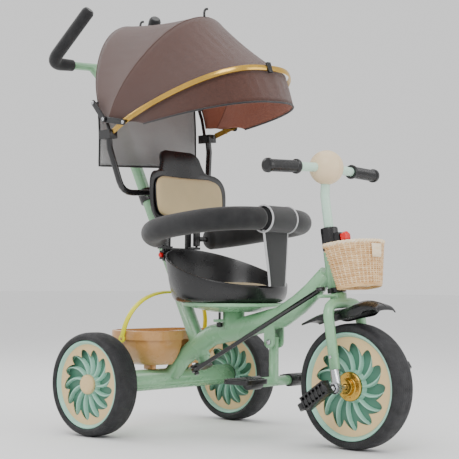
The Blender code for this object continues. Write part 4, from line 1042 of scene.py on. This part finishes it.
def basket_outline(z, half, rear, front, count=120):
    """The basket's D-shaped outline as evenly spaced points in the steering frame."""
    straight = rear - 0.35 * (rear - front)
    corners = [(half, straight), (half, rear - 0.01), (half - 0.004, rear - 0.002),
               (half - 0.012, rear), (0, rear),
               (0.012 - half, rear), (0.004 - half, rear - 0.002), (-half, rear - 0.01),
               (-half, straight)]
    for i in range(1, 16):
        angle = math.pi * i / 16
        corners.append((-half * math.cos(angle), straight + (front - straight) * math.sin(angle)))
    points = [Vector((x, y, z)) for x, y in corners]
    lengths = [0.0]
    for a, b in zip(points, points[1:] + points[:1]):
        lengths.append(lengths[-1] + (b - a).length)
    out = []
    index = 0
    for k in range(count):
        target = lengths[-1] * k / count
        while lengths[index + 1] < target:
            index += 1
        share = (target - lengths[index]) / (lengths[index + 1] - lengths[index])
        out.append(points[index].lerp(points[(index + 1) % len(points)], share))
    return out


def basket_level(share, count=120):
    """The outline at a share of the basket's height, 0 at the bottom."""
    half = 0.054 + 0.021 * share
    rear = -0.037 + 0.006 * share
    front = -0.1 - 0.012 * share
    return basket_outline(0.089 - 0.091 * (1 - share), half - 0.0022, rear - 0.0022, front + 0.0022,
                          count)


def build_basket():
    s = STATE["settings"]
    parts = []
    count = s.stakes * 4
    for row in range(s.weave_rows):
        share = (row + 0.5) / s.weave_rows
        line = basket_level(0.03 + 0.92 * share, count)
        center = sum(line, Vector()) / count
        woven = []
        for i, point in enumerate(line):
            outward = Vector((point.x - center.x, point.y - center.y, 0)).normalized()
            wave = math.cos(math.pi * i / 2 + math.pi * (row % 2)) if i % 2 == 0 else 0.0
            woven.append(point + outward * 0.0011 * wave)
        parts.append(tube("strand", woven, 0.0021, "wicker", None, 2, True))
    for k in range(s.stakes):
        line = [basket_level(t, count)[k * 4] for t in (0.0, 0.25, 0.5, 0.75, 1.0)]
        parts.append(tube("stake", line, 0.0015, "wicker_light", None, 2))
    for phase in (0.0, math.pi):
        line = basket_level(1.0, 240)
        woven = []
        for i, point in enumerate(line):
            angle = 22 * math.tau * i / 240 + phase
            woven.append(point + Vector((0, 0, -0.0028 + 0.0018 * math.sin(angle)))
                         + Vector((point.x, point.y + 0.07, 0)).normalized() * 0.0018 * math.cos(angle))
        parts.append(tube("rope", woven, 0.0023, "wicker_light", None, 2, True))
    for t in (0.0, 0.02):
        parts.append(tube("foot", basket_level(t, 120), 0.0023, "wicker", None, 2, True))
    basket = joined("basket_woven", parts)
    basket.data.transform(STEERING)
    place(basket, "steering", ["basket"])
    floor = basket_level(0.02, 120)
    middle = sum(floor, Vector()) / 120
    shares = (0.04, 0.3, 0.6, 1.0)
    rings = [[middle.lerp(p, t) + Vector((0, 0, 0.002)) for p in floor + floor[:1]] for t in shares]
    disc = sheet_mesh(rings)
    weld(disc)
    inner = [e for e in disc.edges if e.is_boundary and e.calc_length() < 0.004]
    bmesh.ops.holes_fill(disc, edges=inner, sides=0)
    disc = new_object("basket_floor", disc, "wicker", STEERING)
    thicken(disc, 0.003)
    place(disc, "steering")
    spots = [basket_level(t, 480) for t in (0.6, 0.7, 0.8, 0.9)]
    first = 345
    rows = []
    for line in spots:
        row = []
        for i in range(9):
            point = line[(first + i * 5) % 480]
            center = Vector((0, -0.07, point.z))
            row.append(point + (point - center).normalized() * 0.0046)
        rows.append(row)
    tag = new_object("basket_label", sheet_mesh(rows), "wicker_light", STEERING, angle=60)
    thicken(tag, 0.0012)
    place(tag, "steering")


# Bucket

BUCKET_WALL = 0.0028
BAIL_SECTION = (
    (-0.006, -0.0012), (-0.006, 0.0012), (-0.0045, 0.0021), (0.0045, 0.0021), (0.006, 0.0012),
    (0.006, -0.0012), (0.0045, -0.002), (-0.0045, -0.002), (-0.006, -0.0012),
)


def bucket_outline(z, half_x, front, rear, radius, notch_half, notch_y):
    ring = [(notch_half, notch_y), (notch_half, (notch_y + front) / 2), (notch_half, front)]
    for x, y, first in ((half_x, front, -90), (half_x, rear, 0), (-half_x, rear, 90),
                        (-half_x, front, 180)):
        cx = x - math.copysign(radius, x)
        cy = front + radius if y == front else rear - radius
        for i in range(13):
            angle = math.radians(first + 7.5 * i)
            ring.append((cx + radius * math.cos(angle), cy + radius * math.sin(angle)))
    ring += [(-notch_half, front), (-notch_half, (notch_y + front) / 2), (-notch_half, notch_y),
             (0, notch_y)]
    points = [Vector((x, y, z)) for x, y in ring]
    return points + points[:1]


def bucket_shape(share, inset=0.0):
    """Between floor and waist, bowl-shaped: the wall leans out fast at first and then stands up."""
    floor = (0.088, -0.038, 0.054, 0.04, 0.028, -0.002)
    waist = (0.125, -0.069, 0.082, 0.055, 0.028, -0.042)
    bowl = math.sin(math.pi / 2 * share) ** 0.85
    mixed = [a + (b - a) * bowl for a, b in zip(floor, waist)]
    mixed[0] -= inset
    mixed[1] += inset
    mixed[2] -= inset
    mixed[3] -= inset
    mixed[4] += inset
    mixed[5] = floor[5] + (waist[5] - floor[5]) * share + inset
    return mixed


def build_bucket():
    rings = []
    for k in range(11):
        share = k / 10
        rings.append(bucket_outline(0.1472 + 0.0568 * share, *bucket_shape(share)))
    rim = [0.131, -0.0735, 0.0865, 0.058, 0.028, -0.054]
    for z in (0.2044, 0.215, 0.2236):
        rings.append(bucket_outline(z, *rim))
    soft = [rim[0] - 0.0012, rim[1] + 0.0012, rim[2] - 0.0012, *rim[3:]]
    rings.append(bucket_outline(0.225, *soft))
    rings.append(bucket_outline(0.225, *bucket_shape(1.0, BUCKET_WALL)))
    for k in range(10, -1, -1):
        rings.append(bucket_outline(0.1502 + 0.0538 * k / 10, *bucket_shape(k / 10, BUCKET_WALL)))
    parts = [closed_loft("bowl", rings, "bucket_tan", REAR, 35)]
    for sign in (-1, 1):
        parts.append(block("leg", (0.012, 0.03, 0.0135), "bucket_tan",
                           REAR @ Matrix.Translation((sign * 0.06, 0, 0.1425)), 0.002))
        pin = Matrix.Translation((sign * 0.132, 0.205, 0.207)) @ TO_X
        parts.append(spun("pin", [(0, -0.006), (0.0027, -0.006), (0.0027, 0.006), (0, 0.006)],
                          "bucket_tan", pin, 24))
    place(joined("bucket_moulded", parts), "bucket", ["bucket"])

    hinge = Matrix.Translation((0, 0.205, 0.207)) @ turn_x(0.25)
    path = []
    for i in range(61):
        angle = math.pi * i / 60
        x = 0.1345 * math.copysign(abs(math.cos(angle)) ** (2 / 2.5), math.cos(angle))
        path.append(Vector((x, 0, 0.108 * math.sin(angle) ** (2 / 2.5))))
    rows = []
    for depth, lift in BAIL_SECTION:
        row = []
        for i, point in enumerate(path):
            heading = (path[min(i + 1, 60)] - path[max(i - 1, 0)]).normalized()
            outward = Vector((0, 1, 0)).cross(heading).normalized()
            row.append(point + outward * lift + Vector((0, depth, 0)))
        rows.append(row)
    parts = [closed_loft("arc", rows, "bail_yellow", hinge, 40)]
    for sign in (-1, 1):
        boss = rounded_profile([(0.0031, -0.002), (0.009, -0.002), (0.009, 0.002), (0.0031, 0.002)],
                               0.0007, 2)
        parts.append(spun("boss", boss, "bail_yellow",
                          hinge @ Matrix.Translation((sign * 0.1345, 0, 0)) @ TO_X, 40))
    place(joined("bail_moulded", parts), "bail", ["bail"])


# Steering group

FENDER_TOP = [
    (0.082, -0.0545), (0.041, -0.043), (0.005, -0.041), (-0.03, -0.04), (-0.0556, -0.033),
    (-0.085, -0.0345), (-0.1132, -0.046), (-0.1187, -0.056),
]
FENDER_SKIRT = [
    (0.08, -0.0605), (0.0343, -0.056), (0.004, -0.064), (-0.03, -0.062), (-0.0656, -0.061),
    (-0.083, -0.053), (-0.108, -0.054), (-0.118, -0.062),
]


def build_fender():
    tops = smooth_path([(0, y, z) for y, z in FENDER_TOP], 6)
    skirts = smooth_path([(0, y, z) for y, z in FENDER_SKIRT], 6)
    rows = []
    for top, skirt in zip(tops, skirts):
        row = []
        for i in range(33):
            angle = math.pi * i / 32
            lift = math.sin(angle) ** 0.6 if 0 < i < 32 else 0.0
            point = skirt.lerp(top, lift)
            row.append(Vector((-0.0285 * math.cos(angle), point.y, point.z)))
        rows.append(row)
    fender = new_object("front_fender_moulded", sheet_mesh(rows), "black_plastic", STEERING, angle=50)
    thicken(fender, 0.0022)
    place(fender, "steering", ["front_fender"])
    ridge = [Vector((0, p.y, p.z + 0.0008)) for p in tops[2:-2]]
    place(tube("fender_ridge", ridge, 0.0014, "black_plastic", STEERING, 3), "steering")


def build_handlebar():
    center = Vector((0, -0.0131, 0.2572))
    ends = {sign: Vector((sign * 0.168, -0.0036, 0.2529)) for side, sign in SIDES}
    for side, sign in SIDES:
        end = ends[sign]
        axis = STEERING @ Matrix.Translation(end) @ looking(end - center)
        profile = [(0, 0.01), (0.0095, 0.01), (0.0146, 0.0076), (0.015, 0.002), (0.0126, -0.0006)]
        for k in range(17):
            z = -0.003 - 0.0041 * k
            profile += [(0.0126, z), (0.0126, z - 0.0022), (0.0119, z - 0.0027), (0.0119, z - 0.0036)]
        profile += [(0.0124, -0.0735), (0.0152, -0.0756), (0.0155, -0.079), (0.0148, -0.081),
                    (0.0098, -0.081), (0.0098, 0.0006), (0, 0.0006)]
        grip = spun(f"grip_{side}_ribbed", profile, "black_plastic", axis, 64, 25)
        place(grip, "steering", ["grip_" + side])
    profile = [(0.0005, 0.036)]
    for k in range(1, 48):
        angle = math.pi * k / 48
        profile.append((0.036 * math.sin(angle), 0.036 * math.cos(angle)))
    profile.append((0.0005, -0.036))
    ball = spun("handlebar_ball_moulded", profile, "ball_beige", STEERING @ Matrix.Translation(center),
                80, closed=True)
    place(ball, "steering", ["handlebar_ball"])
    seam = spun("handlebar_ball_seam", [(0.0359, 0.0004), (0.0362, 0.0), (0.0359, -0.0004)], "cap_tan",
                STEERING @ Matrix.Translation(center) @ TO_X, 80)
    place(seam, "steering")
    stem = rounded_path([(0, 0, 0.0834), (0, 0, 0.2), center], 0.03)
    parts = [tube("stem", stem, 0.0098, "bar_mint", STEERING, 10)]
    for side, sign in SIDES:
        parts.append(tube("bar", [center, ends[sign]], 0.0095, "bar_mint", STEERING, 10))
    place(joined("handlebar_tube", parts), "steering", ["handlebar"])
    collar = rounded_profile([(0.0102, 0.132), (0.0165, 0.132), (0.0182, 0.13), (0.0182, 0.085),
                              (0.0172, 0.0834), (0.0102, 0.0834)], 0.0012, 3)
    parts = [spun("ring", collar, "black_plastic", STEERING, 64),
             block("boss", (0.018, 0.0155, 0.024), "black_plastic",
                   STEERING @ Matrix.Translation((0, -0.0222, 0.106)), 0.0025)]
    place(joined("stem_collar_moulded", parts), "steering", ["stem_collar"])
    build_clamp_knob()
    build_fork()


def build_clamp_knob():
    """A six-lobed knob on the stem collar's bolt."""
    knob = bmesh.new()
    profile = [(0.0002, 0.0178), (0.007, 0.0178), (0.0104, 0.016), (0.0112, 0.013), (0.0112, 0.006),
               (0.0098, 0.004), (0.003, 0.0026), (0.003, -0.005), (0.0002, -0.005)]
    verts = [knob.verts.new((r, 0, z)) for r, z in profile]
    edges = [knob.edges.new((a, b)) for a, b in zip(verts, verts[1:])]
    revolve(knob, verts + edges, 72)
    for v in knob.verts:
        radius = math.hypot(v.co.x, v.co.y)
        if radius > 0.006:
            lobe = 1 - 0.1 * (1 + math.cos(6 * math.atan2(v.co.y, v.co.x))) / 2
            v.co.x *= lobe
            v.co.y *= lobe
    spot = STEERING @ Matrix.Translation((0, -0.0295, 0.106)) @ Matrix.Rotation(math.pi / 2, 4, "X")
    place(new_object("clamp_knob_moulded", knob, "signal_red", spot), "clamp_knob",
          ["clamp_knob"])


def build_fork():
    show_solid("fork", "frame_green")
    for side, sign in SIDES:
        show_solid("dropout_" + side, "bright_steel", 0.0008)
        at = STEERING @ (AXLE + Vector((sign * 0.0672, 0, 0)))
        out = STEERING.to_3x3() @ Vector((sign, 0, 0))
        nut = spun(f"axle_nut_{side}", [(0.0062, 0), (0.0098, 0), (0.0098, 0.004), (0.0088, 0.005),
                                        (0.0062, 0.005)],
                   "bright_steel", Matrix.Translation(at) @ looking(out), steps=6, angle=20)
        place(nut, "steering")
        rivet(f"fork_rivet_{side}", STEERING @ Vector((sign * 0.0628, -0.012, -0.135)), out, 0.0035,
              "bright_steel", "steering")


def build_pedals():
    show_solid("pedal_crank", "bright_steel")
    arm = turn_x(STEERING_TILT) @ Vector((0, 0.057, -0.0385))
    for side, sign in SIDES:
        show_solid("pedal_knuckle_" + side, "black_paint", 0.0006)
        end = Vector((sign * 0.0745, -sign * arm.y, -sign * arm.z))
        out = Vector((sign, 0, 0))
        back = Vector((0, -end.y, -end.z)).normalized()
        hinge = out.cross(back)
        spot = STEERING @ Matrix.Translation(AXLE + end + out * 0.024 + back * 0.0445)
        frame = spot @ Matrix((out, back, hinge)).transposed().to_4x4()
        parts = [block("core", (0.02, 0.069, 0.015), "black_plastic", frame, 0.003)]
        for k in range(7):
            y = -0.0315 + 0.0105 * k
            parts.append(block("rib", (0.0238, 0.004, 0.029), "black_plastic",
                               frame @ Matrix.Translation((0, y, 0)), 0.0012))
        for edge in (-1, 1):
            parts.append(block("rail", (0.023, 0.069, 0.0036), "black_plastic",
                               frame @ Matrix.Translation((0, 0, edge * 0.0125)), 0.0012))
        place(joined(f"pedal_{side}_moulded", parts), "pedal_" + side,
              ["pedal_" + side])


# Frame, push handle, footrest and linkage

PUSH_SOLIDS = (
    ("canopy_bar", "black_paint", 0.0007), ("steering_crank", "black_paint", 0.0005),
    ("steering_rod", "black_paint", 0.0),
)
SEAT_SOLIDS = (
    ("seat_pan", "frame_green", 0.0008), ("seat_bracket", "black_paint", 0.0006),
    ("guard_button", "signal_red", 0.0004), ("lock_knob", "black_plastic", 0.0006),
)
STRUT_RIVETS = (
    ("rear", "strut_rear_", Vector((0.1738, 0.0246, 0.0748))),
    ("middle", "strut_rear_", Vector((0.1738, -0.0122, 0.0341))),
    ("front", "strut_front_", Vector((0.1702, -0.0788, 0.0219))),
)


def build_frame():
    show_solid("main_frame", "frame_green")
    show_solid("rear_axle", "bright_steel")
    show_solid("head_ring", "black_plastic")
    for side, sign in SIDES:
        show_solid("axle_bush_" + side, "black_plastic")
        rivet(f"footrest_bolt_{side}", Vector((sign * 0.018, -0.1255, 0.208)), (sign, 0, 0), 0.0062,
              "bright_steel", "frame")
        show_solid("foot_pad_" + side, "black_plastic", 0.0016)
        parts = []
        for k in range(7):
            x = sign * (0.062 + 0.01 * k)
            parts.append(block("tread", (0.0036, 0.05, 0.002), "black_plastic",
                               Matrix.Translation((x, -0.1255, 0.1342)), 0.0008))
        place(joined(f"foot_tread_{side}", parts), "footrest")
    show_solid("footrest", "frame_green", 0.0)


def build_push_handle():
    show_solid("push_tube", "frame_green")
    tip, elbow = Vector((0.1023, -0.1294, 0.4056)), Vector((0.141, 0.012, 0.352))
    for side, sign in SIDES:
        mirror = Vector((sign, 1, 1))
        path = rounded_path([tip * mirror, elbow * mirror, Vector((0.078, 0.012, 0.352)) * mirror],
                            0.035, 14)
        heading = (path[0] - path[1]).normalized()
        path.insert(0, path[0] + heading * 0.006)
        radii = [0.8] + [1.0] * (len(path) - 2) + [0.92]
        sleeve = tube("sleeve", path, 0.015, "black_foam", PUSH, 12, radii=radii)
        plug = spun("plug", rounded_profile([(0, 0.0), (0.0104, 0.0), (0.0104, 0.0016), (0, 0.0016)],
                                            0.0005, 2),
                    "black_plastic", PUSH @ Matrix.Translation(path[0]) @ looking(heading), 40)
        place(joined(f"push_grip_{side}_foam", [sleeve, plug]), "push_bar",
              ["push_grip_" + side])
    for node, slot, bevel in PUSH_SOLIDS:
        show_solid(node, slot, bevel)
    for side, sign in SIDES:
        for part in ("strut_rear_", "strut_front_"):
            show_solid(part + side, "black_paint", 0.0004)
        out = CANOPY.to_3x3() @ Vector((sign, 0, 0))
        for spot, strut, point in STRUT_RIVETS:
            at = CANOPY @ Vector((sign * point.x, point.y, point.z))
            rivet(f"strut_rivet_{spot}_{side}", at, out, 0.0042, "bright_steel", strut + side)


def build_seat_hardware():
    for node, slot, bevel in SEAT_SOLIDS:
        show_solid(node, slot, bevel)
    for sign in (-1, 1):
        for z in (0.496, 0.512):
            rivet(f"backrest_screw_{sign + 1}_{int(z * 1000)}",
                  SEAT @ Vector((sign * 0.034, 0.1762, z)), (0, 1, 0), 0.0048, "bright_steel", "seat")


# Stage


def build_stage():
    s = STATE["settings"]
    bm = bmesh.new()
    bmesh.ops.create_grid(bm, x_segments=1, y_segments=1, size=30.0)
    mesh = bpy.data.meshes.new("floor")
    bm.to_mesh(mesh)
    bm.free()
    floor = bpy.data.objects.new("floor", mesh)
    bpy.context.scene.collection.objects.link(floor)
    floor.location.z = -0.0004
    shade = Shader("pale_floor")
    shade.color(srgb(246, 246, 246))
    shade.roughness(0.75)
    mesh.materials.append(shade.mat)

    world = bpy.data.worlds.new("studio")
    world.use_nodes = True
    world.node_tree.nodes["Background"].inputs["Color"].default_value = (1.0, 1.0, 1.0, 1)
    world.node_tree.nodes["Background"].inputs["Strength"].default_value = s.sky
    bpy.context.scene.world = world
    target = Vector((0, 0, 0.42))
    lights = (("key", (-2.2, -1.4, 2.6), 1.6, s.key), ("fill", (0.8, -2.6, 1.3), 1.8, s.key * 0.4),
              ("rim", (-0.4, 2.2, 2.0), 1.4, s.key * 0.45), ("top", (0.3, 0.2, 3.0), 2.2, s.key * 0.5))
    for name, spot, size, power in lights:
        data = bpy.data.lights.new(name, "AREA")
        data.size = size
        data.energy = power
        lamp = bpy.data.objects.new(name, data)
        bpy.context.scene.collection.objects.link(lamp)
        lamp.location = spot
        lamp.rotation_euler = (Vector(spot) - target).to_track_quat("Z", "Y").to_euler()

    data = bpy.data.cameras.new("camera")
    data.lens = 95.4
    data.sensor_width = 36.0
    data.clip_start = 0.05
    camera = bpy.data.objects.new("camera", data)
    bpy.context.scene.collection.objects.link(camera)
    yaw, pitch, roll = math.radians(48.48), math.radians(2.5), math.radians(0.45)
    ahead = Vector((math.cos(pitch) * math.sin(yaw), math.cos(pitch) * math.cos(yaw), math.sin(pitch)))
    camera.matrix_world = (Matrix.Translation((-2.0235, -1.7871, 0.3342))
                           @ ahead.to_track_quat("-Z", "Y").to_matrix().to_4x4() @ turn_z(roll))
    bpy.context.scene.camera = camera


# Add-on


class TrikeSettings(PropertyGroup):
    vanes: IntProperty(name="Vanes", description="Swept blades on each wheel disc", default=13, min=6,
                       max=24)
    sweep: FloatProperty(name="Sweep", default=-27.0,
                         description="How far each blade turns from hub to rim, in degrees")
    canopy_sag: FloatProperty(name="Canopy sag", default=0.006, unit="LENGTH", subtype="DISTANCE",
                              description="How far the cloth hangs in between two ribs")
    guard_radius: FloatProperty(name="Guard radius", default=0.025, unit="LENGTH", subtype="DISTANCE",
                                description="Radius of the padded guard ring's sleeve")
    weave_rows: IntProperty(name="Weave rows", default=20, min=6, max=40,
                            description="Strands between the basket's foot and its rim")
    stakes: IntProperty(name="Stakes", description="Upright canes round the basket", default=34, min=12,
                        max=60)
    key: FloatProperty(name="Key light", description="Power of the main studio light", default=44.0,
                       unit="POWER")
    sky: FloatProperty(name="Sky", description="Brightness of the even surrounding light", default=1.0)


class Builder(Operator):
    """Shared behaviour of the building steps"""
    bl_options = {"REGISTER", "UNDO"}
    steps = ()

    def execute(self, context):
        STATE["settings"] = context.scene.trike
        if "frame" not in STATE:
            raise RuntimeError("the packed frame has to be loaded first")
        for step in self.steps:
            step()
        return {"FINISHED"}


class TRIKE_OT_finishes(Builder):
    """Make the procedural finishes"""
    bl_idname = "trike.finishes"
    bl_label = "Finishes"
    steps = (make_finishes,)


class TRIKE_OT_frame(Builder):
    """Show the frame and the footrest"""
    bl_idname = "trike.frame"
    bl_label = "Frame and footrest"
    steps = (build_frame,)


class TRIKE_OT_wheels(Builder):
    """Build the three wheels"""
    bl_idname = "trike.wheels"
    bl_label = "Wheels"
    steps = (build_wheels,)


class TRIKE_OT_steering(Builder):
    """Build the fork, fender, handlebar and pedals"""
    bl_idname = "trike.steering"
    bl_label = "Steering and pedals"
    steps = (build_fender, build_handlebar, build_pedals)


class TRIKE_OT_basket(Builder):
    """Weave the front basket"""
    bl_idname = "trike.basket"
    bl_label = "Basket"
    steps = (build_basket,)


class TRIKE_OT_push(Builder):
    """Build the push handle and the steering linkage"""
    bl_idname = "trike.push"
    bl_label = "Push handle"
    steps = (build_push_handle,)


class TRIKE_OT_canopy(Builder):
    """Stretch the canopy's cloth and hang its mesh panel"""
    bl_idname = "trike.canopy"
    bl_label = "Canopy"
    steps = (build_canopy, build_mesh_panel)


class TRIKE_OT_seat(Builder):
    """Build the seat, the backrest and the guard ring"""
    bl_idname = "trike.seat"
    bl_label = "Seat and guard"
    steps = (build_seat_shell, build_backrest, build_guard, build_seat_hardware)


class TRIKE_OT_bucket(Builder):
    """Build the toy bucket and its bail"""
    bl_idname = "trike.bucket"
    bl_label = "Toy bucket"
    steps = (build_bucket,)


class TRIKE_OT_stage(Builder):
    """Set the floor, the lights and the camera"""
    bl_idname = "trike.stage"
    bl_label = "Stage"
    steps = (build_stage,)


class TRIKE_PT_panel(Panel):
    bl_label = "Push tricycle"
    bl_space_type = "VIEW_3D"
    bl_region_type = "UI"
    bl_category = "Tricycle"

    def draw(self, context):
        for key in TrikeSettings.__annotations__:
            self.layout.prop(context.scene.trike, key)
        for step in STEPS:
            self.layout.operator(step.bl_idname)


STEPS = (TRIKE_OT_finishes, TRIKE_OT_frame, TRIKE_OT_wheels, TRIKE_OT_steering, TRIKE_OT_basket,
         TRIKE_OT_push, TRIKE_OT_canopy, TRIKE_OT_seat, TRIKE_OT_bucket, TRIKE_OT_stage)
CLASSES = (TrikeSettings, *STEPS, TRIKE_PT_panel)


def register():
    for cls in CLASSES:
        bpy.utils.register_class(cls)
    bpy.types.Scene.trike = PointerProperty(type=TrikeSettings)


def unregister():
    del bpy.types.Scene.trike
    for cls in reversed(CLASSES):
        bpy.utils.unregister_class(cls)


def main():
    register()
    STATE["frame"] = frame
    STATE["slots"] = [m["slot"] for m in frame["record"]["materials"]]
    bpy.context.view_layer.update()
    for step in STEPS:
        group, name = step.bl_idname.split(".")
        getattr(getattr(bpy.ops, group), name)()


if __name__ == "__main__":
    main()
